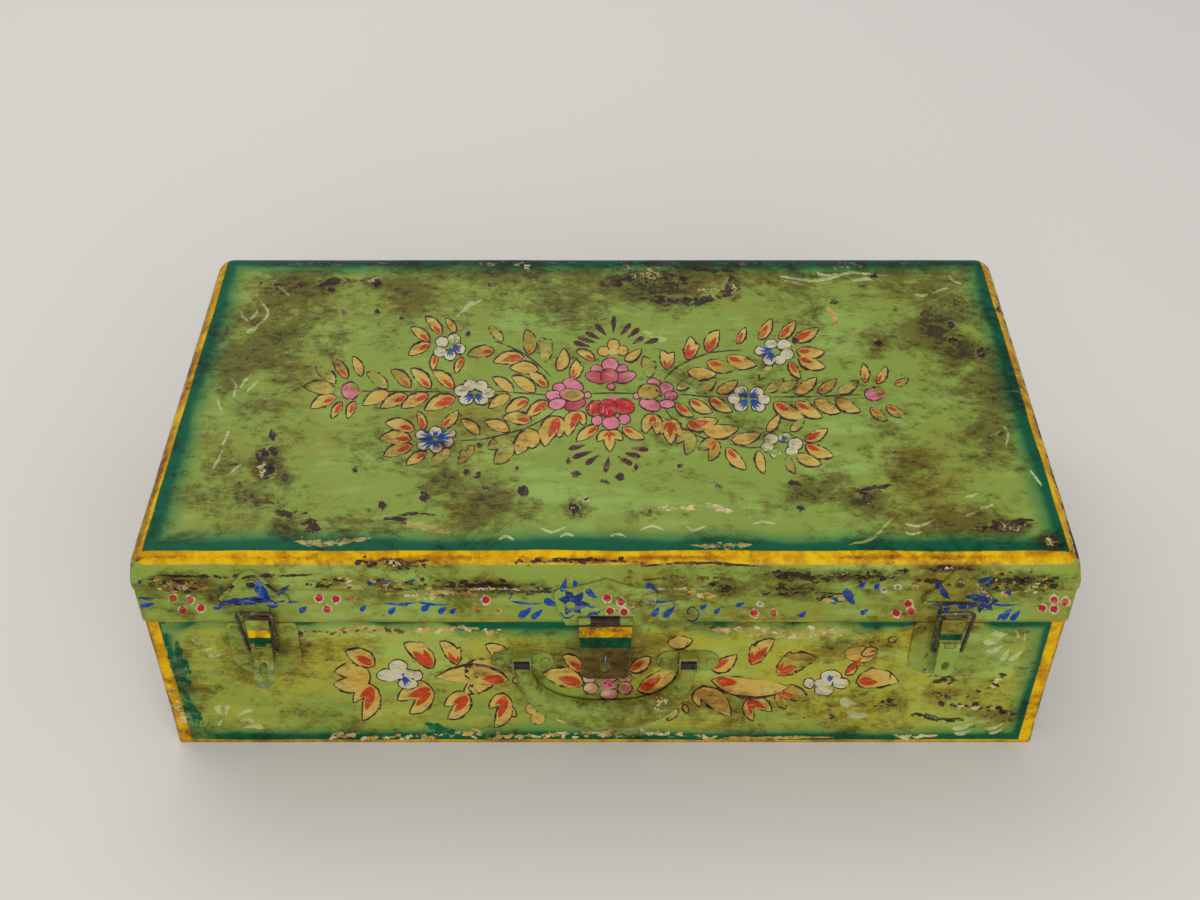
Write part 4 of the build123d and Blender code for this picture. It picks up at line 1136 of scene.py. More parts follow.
LOWER_SPRAY_LEAVES = (
    ((424, 429), (418, 412), "red"), ((442, 427), (458, 411), "warm"), ((414, 430), (386, 423), "warm"),
    ((411, 439), (380, 439), "warm"), ((412, 446), (384, 456), "warm"), ((426, 453), (407, 465), "warm"),
    ((451, 450), (431, 466), "faint"), ((479, 434), (461, 420), "plain"),
    ((509, 431), (485, 422), "plain"), ((531, 421), (503, 418), "warm"), ((474, 447), (459, 464), "worn"),
    ((598, 427), (577, 441), "warm"), ((623, 428), (644, 438), "warm"), ((687, 425.5), (718, 420), "red"),
    ((704, 431.5), (738, 428), "plain"), ((732, 440), (760, 434), "plain"),
    ((727, 448), (746, 469), "warm"), ((759, 451), (764, 473), "plain"),
    ((767, 431), (779, 415), "plain"), ((791, 431), (803, 417), "faint"), ((805, 440), (827, 429), "red"),
    ((806, 445), (833, 456), "warm"), ((797, 455), (821, 464), "plain"), ((787, 457), (795, 473), "worn"),
)
CLEFT_LEAVES = (
    ((529, 354), ((526, 330), (534, 340)), "worn"), ((545, 361), ((541, 338), (551, 340)), "faint"),
    ((558, 370), ((564, 349), (569, 358)), "plain"), ((572, 379), ((576, 360), (583, 367)), "warm"),
    ((649, 377), ((643, 357), (655, 362)), "faint"), ((667, 369), ((661, 351), (674, 353)), "warm"),
    ((687, 359), ((690, 337), (699, 345)), "red"), ((709, 352), ((706, 338), (719, 331)), "red"),
    ((510, 440), ((489, 449), (494, 463)), "faint"), ((535, 431), ((517, 455), (531, 448)), "plain"),
    ((557, 417), ((545, 446), (559, 437)), "red"), ((577, 412), ((568, 436), (584, 425)), "red"),
    ((609, 432), ((598, 441), (610, 451), (622, 440)), "warm"),
    ((653, 415), ((645, 433), (657, 434)), "warm"),
    ((669, 421), ((661, 434), (671, 444), (680, 436)), "red"),
    ((690, 432), ((677, 443), (686, 454)), "faint"), ((716, 441), ((700, 450), (709, 460)), "worn"),
)
FAN_STROKES = (
    ((613.5, 334), (614, 315)), ((607, 336), (595, 324)), ((600, 339), (585, 332)),
    ((596, 343), (577, 337)), ((591, 347), (573, 342)), ((620, 336), (631, 323)),
    ((627, 338), (640, 328)), ((632, 344), (644, 337)), ((643, 344), (659, 339)),
    ((586, 445), (568, 449)), ((593, 451), (572, 458)), ((599, 455), (585, 465)),
    ((609, 456), (605, 473)), ((617, 456), (633, 465)), ((624, 453), (641, 457)),
    ((631, 448), (649, 450)),
)


# Petals: centre, half width, half height, turn in degrees, and the tones at its two ends.
BUD_PETALS = (
    ((604, 351.5), 6, 4.5, 0, LEAF_OCHRE, LEAF_PALE), ((622, 350.5), 5.5, 4.5, 0, LEAF_OCHRE, LEAF_PALE),
    ((613.5, 345), 5.5, 5.5, 0, LEAF_OCHRE, LEAF_PALE),
)
LOTUS_PETALS = (
    ((597, 370), 6, 4.5, 0, PINK, ROSE), ((622.5, 369), 5, 4, 0, ROSE, PINK),
    ((610, 364.5), 8, 6, 0, ROSE, PINK), ((596.5, 377.5), 11, 5, 14, ROSE, RED),
    ((625, 377.5), 11, 5, -16, RED, PINK), ((609.5, 376.5), 8.5, 7, 0, RED, ROSE),
    ((611, 387), 3.5, 2.5, 0, ROSE, PINK),
)
LEFT_PINK_PETALS = (
    ((573, 385.5), 10.5, 5.5, 18, PINK, ROSE), ((559, 388), 6, 4.5, 0, ROSE, PINK),
    ((554, 395.5), 8, 4.6, 0, PINK, PINK), ((557.5, 404), 8.5, 5, -8, PINK, PINK),
    ((575, 404.5), 10.5, 5, -16, RED, ROSE), ((587.5, 395.3), 3.2, 2.8, 0, PINK, PINK),
    ((572, 395), 12, 5.8, 4, ROSE, LEAF_OCHRE),
)
RIGHT_PINK_PETALS = (
    ((637, 395.8), 3.2, 2.8, 0, PINK, PINK), ((654, 383), 6.5, 4.2, 10, PINK, ROSE),
    ((666, 388.5), 7, 5.5, 0, ROSE, PINK), ((671, 395.5), 6, 4, 0, ROSE, PINK),
    ((667, 404), 7.5, 4, 0, PINK, PINK), ((650, 405), 10.5, 5.5, 16, PINK, ROSE),
    ((649, 392), 11, 7.5, -6, LEAF_OCHRE, OLIVE),
)
LOWER_PINK_PETALS = (
    ((597, 420.5), 5.2, 4.6, 0, PINK, ROSE), ((624.5, 419), 5.5, 4.6, 0, PINK, ROSE),
    ((611, 423), 8.2, 6.3, 0, PINK, ROSE),
)
RED_PETALS = (((595, 408.5), 8.5, 7.2, -20), ((624, 406.5), 10.5, 7.6, 14), ((608, 408.5), 9, 8.8, 0))
RED_PETAL_LINES = (((603, 413), (603.5, 406)), ((607, 415), (606.5, 409)), ((590, 410), (592, 404)))
# White flowers: centre, petals and streaks, as blossom takes them.
TOP_BLOSSOMS = (
    ((451, 347), ((-9, -5, 6, 5, 0.1), (3, -8, 6, 5, 0.24), (-11, 5, 6, 4.6, 0.06),
                  (9, 2, 5, 5, 0.2), (-1, 8.5, 5.6, 5, 0.02)), (3, 4)),
    ((474.5, 393), ((-13, -2, 7, 5.4, 0.04), (-4, -7.5, 6.5, 5, 0.1), (7, -7, 6, 5.2, 0.06),
                    (14, 0, 6.5, 4.8, 0.12), (-8.5, 7, 6.6, 4.6, 0.0), (7, 7, 6.6, 4.8, 0.0)), (4, 5)),
    ((435.5, 439), ((0, -7, 6, 5, 0.0), (13.5, -5.5, 6.5, 4.6, 0.04), (12, 3.5, 6, 4.6, 0.0),
                    (0.5, 8.5, 6.5, 4.8, 0.0), (-12, 7, 6, 4.2, 0.0), (-13.5, -4, 6, 4.4, 0.0)),
     (0, 1, 2, 3, 4, 5)),
    ((774, 352), ((-3, -8, 6, 4.4, 0.08), (10, -7, 7, 5, 0.04), (13, 2.5, 6.5, 5, 0.06),
                  (6, 8, 5.5, 4.4, 0.16), (-5, 8, 6, 5, 0.0), (-13, -1, 6, 4.4, 0.0)), (4, 5)),
    ((749, 399), ((-8, -8, 6.4, 4.6, 0.04), (8, -6.5, 6.4, 4.8, 0.04), (15, 0.5, 6, 4.4, 0.08),
                  (9.5, 8, 6.4, 4.4, 0.04), (-8.5, 7.5, 6.4, 4.6, 0.04), (-15, 0, 6, 4.8, 0.04)),
     (0, 1, 3, 4)),
    ((782, 444), ((-11, -5, 7, 5, 0.22), (3, -6.5, 6.4, 4.6, 0.2), (13.5, 0, 7, 5.6, 0.0),
                  (10, 7.5, 6, 4.6, 0.26), (-6, 9.5, 5.6, 4.4, 0.24), (-14.5, 3, 6, 4.6, 0.22)), (1,)),
)
# The roses near the ends of the long stem: (u, v, half width, half height).
SIDE_ROSES = ((350, 391, 8.2, 8.2), (874, 394, 9, 6))


def paint_centre_flowers(top):
    """The pink and red group in the middle of the lid."""
    top.stack(0.09, top.petal, BUD_PETALS)
    top.blob((613, 352), 6, 3, 0, LEAF_PALE)
    top.leaf((594, 360), (577, 351), "warm")
    top.leaf((625, 360), (641, 350), "plain")
    top.stack(0.11, top.petal, LOTUS_PETALS, 0.04)
    top.stack(0.11, top.petal, LEFT_PINK_PETALS, 0.05)
    top.blob((572, 395), 8, 3.6, 0, OLIVE, None, 0.05)
    top.stack(0.11, top.petal, RIGHT_PINK_PETALS, 0.08)
    for place in ((657, 391), (661, 396), (657, 401), (647, 399)):
        top.blob(place, 1.6, 1.0, 30, INK)
    top.stack(0.11, top.petal, LOWER_PINK_PETALS)
    top.blob((613.5, 400.5), 8, 4, 0, ROSE, PINK)
    for row in RED_PETALS:
        top.petal(*row, RED, RED, 0.0, 1.1)
    for start, end in RED_PETAL_LINES:
        top.blade(start, end, 1.4, PINK, 0.1)


def paint_top_flowers(top):
    """The white flowers, and a rose near each end of the long stem."""
    top.each(0.10, top.blossom, TOP_BLOSSOMS)
    for u, v, across, down in SIDE_ROSES:
        top.start(0.09)
        top.petal((u, v), across, down, 0, PINK, ROSE, 0.03)
        top.blob((u + 4, v - 3), 4.2, 3.6, 20, OLIVE, None, 0.1)
        top.blade((u + 5, v + 3), (u + 13, v), 3.4, ROSE)


# Chips: centre, half width, half height and turn, read a little too large.
CHIP_SCALE = 0.85
TOP_CHIPS = (
    ((377, 283), 4.5, 6, 60), ((343, 312), 3, 2.4, 0), ((377, 312), 3.2, 3, 0), ((331, 290), 4, 3, 0),
    ((401, 318), 2.5, 1.8, 0), ((468, 334), 2.6, 3, 0), ((492, 285), 5.5, 2.6, 0),
    ((729, 283), 9, 3.4, -60), ((834, 302), 5, 3, 0), ((795, 341), 4, 4, -30), ((878, 343), 5, 3, 10),
    ((951, 325), 5, 4, 20), ((953, 341), 6, 4, 0), ((981, 353), 6, 5, 40), ((424, 497), 6, 6.5, -40),
    ((382, 505), 4.6, 4.6, 0), ((355, 470), 2.6, 3.4, 0), ((523, 491), 6.5, 5.5, 0),
    ((574, 508), 6, 7, 0), ((576, 474), 4, 5, 80), ((568, 461), 2.2, 4, 0), ((604, 481), 5, 2.6, 10),
    ((620, 477), 4.4, 5.4, 60), ((636, 467), 2.4, 3.6, 0), ((679, 466), 2.4, 2.4, 0),
    ((718, 486), 3.4, 2.6, 0), ((794, 483), 7, 3, 0), ((479, 445), 2.6, 3.2, 0), ((467, 450), 2.8, 3, 0),
    ((466, 472), 3.6, 3.6, 0), ((478, 475), 3.4, 4, 60), ((485, 487), 4.4, 2.6, 0),
    ((517, 468), 2, 2.4, 0), ((1000, 309), 3.5, 5, 60), ((874, 277), 4.4, 3, 0), ((800, 508), 4.5, 3, 0),
    ((868, 489), 16, 2.6, -8), ((1053, 540), 7, 4, 0), ((395, 519), 14, 2.2, 0), ((424, 499), 3, 2, 0),
    ((273, 451), 6, 5, 30), ((268, 470), 10, 7, 40), ((262, 455), 8, 7, 0), ((272, 435), 4, 6, 0),
)
# Scuffs: points along them, width, colour and how thin.
TOP_SCRATCHED_PAINT = (
    (((293, 541), (330, 543), (372, 538)), 7, PALE_OCHRE, 0.2),
    (((396, 521), (425, 527), (452, 533)), 7, PALE_OCHRE, 0.2),
    (((690, 545), (720, 547), (756, 544)), 5, PALE_OCHRE, 0.2),
    (((655, 509), (700, 506), (735, 512)), 8, CREAM, 0.24),
    (((455, 318), (470, 306), (486, 296)), 5, HAZE, 0.24),
    (((826, 306), (834, 316), (838, 326)), 6, OCHRE, 0.16),
    (((244, 285), (300, 283), (372, 279)), 8, GRIME, 0.22),
    (((604, 283), (650, 272), (690, 286)), 20, GRIME, 0.17),
    (((640, 298), (700, 300), (742, 290)), 12, GRIME, 0.19),
    (((610, 270), (660, 264), (736, 272)), 9, GRIME, 0.16),
    (((970, 530), (1000, 525), (1035, 520)), 9, GRIME, 0.16),
    (((274, 512), (300, 520), (322, 534)), 16, GRIME, 0.20),
    (((395, 515), (415, 514), (437, 515)), 3.4, GRIME, 0.10),
    (((852, 497), (870, 490), (892, 484)), 7, GRIME, 0.18),
    (((255, 265), (420, 262), (600, 262)), 5, TARNISH, 0.18),
    (((600, 262), (760, 263), (960, 264)), 5, TARNISH, 0.16),
    (((640, 330), (654, 336), (668, 340)), 7, PALE_LIME, 0.22),
    (((848, 545), (872, 538), (896, 515)), 3, PALE_LIME, 0.1),
)
CREAM_STROKES = (
    ((259, 299), (268, 312), (262, 322), (246, 332)), ((277, 286), (283, 290), (290, 296)),
    ((241, 311), (243, 317), (248, 321)), ((258, 309), (256, 314), (250, 320)),
    ((246, 333), (252, 331), (258, 327)), ((231, 378), (236, 386), (233, 398)),
    ((240, 388), (246, 380), (252, 374)), ((246, 392), (252, 387), (258, 381)),
    ((218, 399), (219, 405), (222, 411)), ((222, 446), (226, 438), (229, 430)),
    ((212, 470), (218, 460), (223, 450)), ((230, 474), (236, 468), (242, 464)),
    ((779, 276), (796, 279), (812, 281), (828, 279), (848, 273), (868, 274), (890, 276)),
    ((784, 281), (792, 282), (803, 285)), ((816, 272), (824, 275), (838, 274)),
    ((852, 281), (866, 279), (884, 281)), ((932, 294), (940, 290), (948, 288)),
    ((948, 275), (954, 281), (962, 284)), ((915, 294), (922, 296), (928, 294)),
    ((905, 524), (920, 526), (936, 519)), ((905, 532), (912, 534), (922, 532)),
    ((965, 516), (972, 514), (980, 511)), ((980, 508), (988, 507), (994, 504)),
    ((965, 497), (971, 496), (978, 493)), ((752, 524), (764, 522), (776, 524)),
    ((560, 537), (566, 534), (574, 536)), ((610, 536), (618, 534), (626, 537)),
    ((1003, 425), (1008, 434), (1006, 446)), ((990, 436), (996, 434), (1001, 430)),
    ((540, 528), (552, 532), (566, 527)), ((640, 530), (652, 526), (664, 530)),
    ((498, 540), (506, 536), (514, 540)), ((686, 527), (694, 530), (706, 526)),
    ((1030, 470), (1036, 478), (1042, 486)),
)


def paint_lid_top(top):
    """All strokes on the lid's top, from the lowest to the highest."""
    top.each(0.03, top.scuff, TOP_SCRATCHED_PAINT)
    for points in CREAM_STROKES:
        top.start(0.04)
        top.line(points, 2.7, HAZE, 0.13)
    for points in TOP_STEMS:
        top.start(0.04)
        top.line(points, 1.5, INK, 0.02, 26)
    top.each(0.05, top.leaf, LEFT_SPRAY_LEAVES + RIGHT_SPRAY_LEAVES + LOWER_SPRAY_LEAVES)
    top.each(0.06, top.cleft, CLEFT_LEAVES)
    for start, end in FAN_STROKES:
        top.start(0.05)
        top.blade(end, start, 5.2, MAROON, 0.03)
    paint_centre_flowers(top)
    paint_top_flowers(top)
    for centre, across, down, turn in TOP_CHIPS:
        top.start(0.14)
        top.chip(centre, across * CHIP_SCALE, down * CHIP_SCALE, turn)


# Berries are (u, v, thin); blades are (u, v) at the base and the tip, and a width.
LID_DOTS = (
    (183, 610, 0), (201, 608, 0), (173, 598, 0.28), (319, 598, 0), (336, 599, 0), (327, 609, 0),
    (351, 599, 0.24), (486, 600, 0), (607, 598, 0), (621, 602, 0), (610, 611, 0), (624, 612, 0),
    (637, 605, 0.12), (754, 613, 0.05), (773, 613, 0.26), (896, 613, 0), (911, 611, 0), (1042, 608, 0),
    (1054, 600, 0), (1054, 609, 0), (1065, 602, 0), (1064, 589, 0.2), (908, 604, 0.1), (478, 609, 0.2),
    (190, 600, 0.2),
)
RING_DOTS = ((498, 611, OCHRE), (898, 587, WHITE), (915, 588, OCHRE), (884, 590, WHITE), (760, 604, WHITE))
LID_BLADES = (
    (138, 606, 155, 603, 4), (137, 597, 156, 598, 2), (138, 583, 142, 580, 3), (229, 600, 259, 602, 6),
    (213, 608, 226, 604, 4), (277, 594, 290, 584, 4), (278, 601, 301, 601, 2), (299, 612, 307, 606, 5),
    (219, 590, 223, 586, 3), (367, 583, 377, 579, 5), (383, 584, 392, 580, 4), (407, 583, 415, 579, 3),
    (384, 603, 418, 602, 2), (418, 602, 452, 604, 2), (388, 613, 396, 607, 5), (402, 606, 409, 602, 4),
    (421, 610, 430, 605, 5), (438, 613, 446, 607, 5), (450, 613, 456, 608, 4), (360, 611, 366, 605, 4),
    (544, 599, 557, 605, 6), (511, 601, 544, 603, 2), (587, 606, 601, 606, 2), (561, 592, 566, 578, 5),
    (575, 587, 574, 579, 4), (586, 589, 597, 598, 5), (587, 616, 601, 611, 5), (518, 617, 532, 607, 6),
    (531, 618, 543, 609, 5), (646, 583, 659, 593, 6), (652, 616, 659, 607, 5), (662, 617, 675, 606, 5),
    (647, 601, 676, 600, 2), (700, 609, 707, 604, 4), (714, 613, 720, 608, 4), (799, 617, 806, 611, 4),
    (845, 588, 855, 605, 8), (859, 587, 866, 582, 4), (874, 588, 880, 583, 4), (831, 602, 839, 597, 5),
    (860, 614, 868, 609, 4), (822, 600, 846, 601, 2), (930, 604, 958, 604, 2), (957, 604, 977, 606, 6),
    (937, 613, 951, 607, 5), (976, 582, 993, 576, 4), (985, 586, 995, 581, 3), (992, 604, 1019, 604, 2),
    (997, 621, 1012, 608, 6), (1010, 620, 1020, 610, 5), (935, 586, 942, 580, 4), (1005, 595, 1012, 590, 4),
    (480, 590, 487, 585, 3), (735, 606, 745, 602, 3),
)
KEEPER_BLUE = (
    (((255, 579), (260, 589), (270, 604)), 11, BLUE), (((228, 603), (246, 602), (268, 600)), 7, NAVY),
    (((262, 598), (270, 603), (278, 606)), 8, BLUE), (((240, 600), (252, 600), (262, 596)), 6, NAVY),
    (((266, 573), (270, 576), (273, 578)), 2.4, NAVY), (((218, 607), (224, 603), (232, 600)), 4, BLUE),
)
SCROLLS = (
    ((684, 618), (694, 621), (699, 613), (692, 607), (687, 612), (692, 615)),
    ((497, 594), (505, 590), (512, 594), (508, 600)),
    ((560, 612), (566, 618), (575, 615)),
)
# Stars: centre, the tips of the rays, and the rays' width.
BLUE_STARS = (
    ((573, 603), ((558, 599), (565, 590), (583, 592), (590, 604), (581, 613), (566, 615)), 9),
    ((984, 600), ((964, 597), (983, 587), (999, 600), (993, 610), (979, 613)), 8),
    ((941, 588), ((950, 599), (935, 582)), 7),
)
LID_FRONT_SCUFFS = (
    (((160, 586), (182, 583), (206, 588)), 6, GRIME, 0.14),
    (((330, 588), (345, 586), (365, 590)), 6, PALE_OCHRE, 0.2),
    (((356, 561), (395, 565), (430, 560)), 6, GRIME, 0.12),
    (((440, 586), (495, 587), (548, 592)), 7, GRIME, 0.12),
    (((640, 580), (690, 577), (740, 580)), 4, BROWN_OLIVE, 0.2),
    (((760, 594), (800, 592), (845, 594)), 5, GRIME, 0.14),
    (((770, 573), (840, 577), (910, 573)), 7, GRIME, 0.12),
    (((932, 568), (955, 567), (977, 570)), 4, TARNISH, 0.08),
    (((995, 584), (1020, 580), (1050, 584)), 8, GRIME, 0.16),
    (((150, 575), (230, 577), (330, 574)), 4, GRIME, 0.22),
    (((520, 562), (580, 560), (640, 562)), 3, GRIME, 0.12),
    (((640, 566), (700, 563), (770, 567)), 3.4, GRIME, 0.2),
    (((380, 594), (430, 591), (480, 595)), 4, PALE_OCHRE, 0.22),
    (((910, 584), (930, 581), (952, 585)), 5, GRIME, 0.2),
)

# Lines of scabs: the points, how far they stray, how many, and their colours.
LID_FRONT_SCABS = (
    (((150, 583), (178, 586), (205, 587)), 2.2, 22, (GRIME, TARNISH, OCHRE)),
    (((160, 587), (180, 588), (200, 586)), 1.2, 10, (OCHRE, CREAM)),
    (((308, 588), (330, 584), (354, 583)), 2.6, 16, (GRIME, OCHRE, CREAM)),
    (((362, 562), (395, 566), (430, 563)), 2.4, 22, (TARNISH, GRIME)),
    (((372, 582), (405, 586), (450, 588)), 4.0, 30, (GRIME, BROWN_OLIVE, OCHRE)),
    (((408, 597), (422, 597), (436, 596)), 1.2, 14, (OCHRE, CREAM)),
    (((440, 586), (495, 586), (548, 592)), 2.2, 46, (TARNISH, GRIME)),
    (((420, 594), (440, 595), (470, 592)), 1.0, 12, (OCHRE, CREAM)),
    (((520, 562), (570, 560), (620, 561)), 1.2, 24, (TARNISH, GRIME)),
    (((690, 592), (702, 596), (714, 594)), 2.0, 10, (OCHRE, CREAM)),
    (((712, 584), (722, 588), (730, 590)), 2.2, 9, (TARNISH, GRIME)),
    (((774, 574), (830, 578), (906, 574)), 2.4, 46, (TARNISH, GRIME)),
    (((776, 588), (798, 590), (824, 592)), 2.6, 22, (TARNISH, GRIME)),
    (((818, 598), (830, 600), (846, 598)), 1.6, 12, (OCHRE, GRIME)),
    (((930, 569), (950, 567), (968, 568)), 0.9, 14, (TARNISH,)),
    (((990, 580), (1020, 583), (1050, 580)), 4.2, 40, (TARNISH, GRIME, OCHRE)),
    (((1000, 590), (1024, 589), (1046, 588)), 2.6, 16, (OCHRE, CREAM)),
)
BASE_SCABS = (
    (((333, 736), (342, 736), (352, 735)), 1.0, 8, (CREAM, OCHRE)),
    (((366, 738), (400, 736), (440, 736)), 1.0, 18, (CREAM, OCHRE)),
    (((450, 735), (465, 733), (480, 734)), 1.8, 14, (CREAM, OCHRE)),
    (((487, 737), (550, 735), (620, 732)), 1.2, 40, (CREAM, OCHRE)),
    (((620, 733), (670, 734), (720, 737)), 1.2, 20, (CREAM, OCHRE)),
    (((430, 726), (440, 729), (450, 734)), 2.2, 10, (DEEP_GREEN, SEA_GREEN)),
    (((934, 693), (944, 695), (954, 696)), 1.6, 11, (GRIME, BROWN_OLIVE)),
    (((967, 697), (973, 694), (978, 691)), 1.0, 7, (GRIME,)),
    (((937, 681), (945, 680), (953, 682)), 0.8, 8, (GRIME,)),
    (((992, 687), (998, 681), (1003, 675)), 0.8, 9, (GRIME, CREAM)),
    (((878, 706), (884, 702), (890, 700)), 1.0, 5, (GRIME,)),
    (((913, 713), (935, 718), (962, 720)), 0.9, 18, (GRIME, TARNISH)),
    (((955, 706), (985, 708), (1020, 714)), 1.2, 20, (GRIME, TARNISH, CREAM)),
    (((740, 629), (780, 634), (838, 632)), 2.4, 30, (OCHRE, CREAM)),
    (((708, 628), (722, 630), (738, 629)), 1.2, 10, (CREAM, OCHRE)),
    (((300, 632), (360, 630), (400, 632)), 1.6, 20, (OCHRE, BROWN_OLIVE)),
    (((420, 631), (460, 630), (500, 631)), 1.4, 20, (OCHRE, CREAM)),
    (((172, 690), (178, 705), (186, 722)), 1.6, 12, (CREAM, HAZE)),
)
GREEN_SCRIBBLE = (
    ((168, 640), (172, 660), (178, 684)), ((176, 640), (180, 664), (188, 690)),
    ((172, 668), (184, 680), (194, 690)), ((184, 690), (190, 706), (196, 724)),
    ((176, 652), (186, 664), (190, 674)), ((192, 704), (198, 716), (206, 730)),
)


def paint_lid_front(front):
    """All strokes on the lid's front, and what falls on the keepers and the hasp's plate."""
    front.each(0.04, front.scuff, LID_FRONT_SCUFFS)
    front.each(0.04, front.clumps, LID_FRONT_SCABS)
    for u, v, end_u, end_v, width in LID_BLADES:
        front.start(0.06)
        front.blade((u, v), (end_u, end_v), width * 1.25, BLUE, 0.02, 0.05)
    swell = np.sin(math.pi * np.linspace(0.06, 0.96, 11)) ** 0.6
    for points, width, tone in KEEPER_BLUE:
        front.start(0.06)
        front.ribbon(smooth(points, 11), width / 2 * swell, tone)
    for points in SCROLLS:
        front.start(0.06)
        front.line(points, 1.7, NAVY, 0.04, 20)
    for centre, points, width in BLUE_STARS:
        front.start(0.07)
        for point in points:
            front.blade(centre, point, width, NAVY, 0.02, 0.06)
        front.blob(centre, width * 0.45, width * 0.4, 0, BLUE, NAVY, 0.04)
    for u, v, tone in RING_DOTS:
        front.start(0.08)
        front.blob((u, v), 4, 3.4, 0, tone, None, 0.14)
        front.blob((u, v), 2.2, 1.8, 0, OLIVE)
    for u, v, thin in LID_DOTS:
        front.start(0.09)
        front.dot((u, v), 3.9, thin)


BASE_CLEFTS = (
    ((373, 686), ((354, 702), (363, 720)), "red"), ((376, 694), ((380, 708),), "plain"),
    ((370, 677), ((335, 672), (334, 684)), "plain"), ((433, 667), ((404, 644), (420, 642)), "red"),
    ((457, 664), ((440, 642), (460, 648)), "warm"), ((431, 688), ((398, 700), (410, 713)), "red"),
    ((469, 696), ((445, 706), (448, 718)), "red"), ((494, 682), ((464, 694),), "plain"),
    ((500, 675), ((466, 666),), "plain"), ((510, 667), ((486, 645), (500, 650)), "red"),
    ((507, 696), ((490, 708), (495, 727)), "red"), ((510, 706), ((516, 716),), "plain"),
    ((712, 669), ((736, 655),), "red"), ((752, 664), ((752, 645), (774, 640)), "red"),
    ((777, 674), ((790, 652), (816, 658)), "worn"), ((697, 690), ((700, 706), (730, 716)), "plain"),
    ((748, 700), ((753, 720), (771, 711)), "red"), ((778, 692), ((786, 708), (808, 700)), "worn"),
    ((857, 682), ((884, 674), (898, 682)), "warm"), ((846, 674), ((856, 662),), "red"),
)
BASE_LEAVES = (
    ((712, 680), (788, 687), "red"), ((508, 680), (436, 677), "red"),
    ((583, 671), (563, 656), "red"), ((630, 670), (650, 657), "red"), ((513, 680), (524, 679), "plain"),
    ((374, 665), (346, 652), "red"), ((583, 684), (543, 674), "red"), ((638, 690), (678, 668), "red"),
    ((877, 650), (862, 655), "warm"), ((668, 642), (692, 640), "plain"), ((889, 641), (897, 636), "faint"),
    ((684, 705), (688, 712), "plain"), ((678, 710), (668, 720), "faint"),
)
# Pale strokes: base, tip and width.
BASE_CREAM = (
    ((668, 641), (692, 640), 9), ((840, 699), (858, 704), 9), ((846, 712), (870, 714), 8),
    ((990, 631), (1009, 634), 6), ((983, 642), (1003, 637), 6), ((983, 653), (1003, 645), 6),
    ((1000, 660), (1009, 648), 5), ((1008, 660), (1023, 649), 5), ((1018, 639), (1015, 629), 3),
    ((1024, 641), (1024, 631), 3), ((218, 704), (221, 714), 7), ((229, 705), (226, 716), 4),
    ((253, 710), (237, 717), 4), ((254, 721), (238, 722), 4), ((264, 728), (242, 728), 5),
    ((218, 726), (222, 718), 3), ((192, 639), (202, 645), 3), ((200, 650), (216, 646), 3),
    ((206, 655), (228, 652), 3), ((951, 728), (974, 722), 5), ((954, 733), (972, 730), 4),
    ((984, 729), (1004, 722), 4), ((988, 733), (1004, 727), 3),
)
BASE_SCUFFS = (
    (((740, 628), (795, 634), (850, 630)), 9, PALE_OCHRE, 0.2),
    (((330, 632), (370, 629), (413, 632)), 8, PALE_OCHRE, 0.2),
    (((420, 631), (460, 629), (500, 632)), 6, PALE_OCHRE, 0.2),
    (((549, 733), (610, 734), (671, 733)), 5, CREAM, 0.2),
    (((690, 738), (760, 738), (840, 737)), 3, OCHRE, 0.2),
    (((924, 677), (940, 676), (956, 678)), 3, GRIME, 0.14),
    (((427, 724), (440, 730), (452, 735)), 9, SEA_GREEN, 0.12),
    (((890, 735), (910, 737), (940, 735)), 4, CREAM, 0.2),
)


BASE_BLOSSOMS = (
    ((402, 675), ((-4, -9, 9, 6, 0.24), (-13, 0, 12, 5.6, 0.0), (6, 8.5, 9.5, 5, 0.0),
                  (15.5, 0.5, 4.6, 4.6, 0.1), (2, -1, 12, 5, 0.08)), (2, 4)),
    ((828, 682), ((3, -6, 10, 5.6, 0.14), (13, 1, 8, 5, 0.2), (-4, 8, 9, 5, 0.2),
                  (-19, 1, 5, 4.4, 0.16), (-5, 1, 9, 4.4, 0.18)), (0,)),
)
# The flower behind the handle: petals are (across, down, half width, half height) from its centre.
ROSETTE = (608, 684)
ROSETTE_PETALS = (
    (-19, -6, 6.4, 5.2), (-17, 4, 7, 5.2), (1, 10, 8.6, 5.4), (17, -6, 6.4, 5), (17, 4, 6.6, 6),
    (4, -9, 7, 5),
)


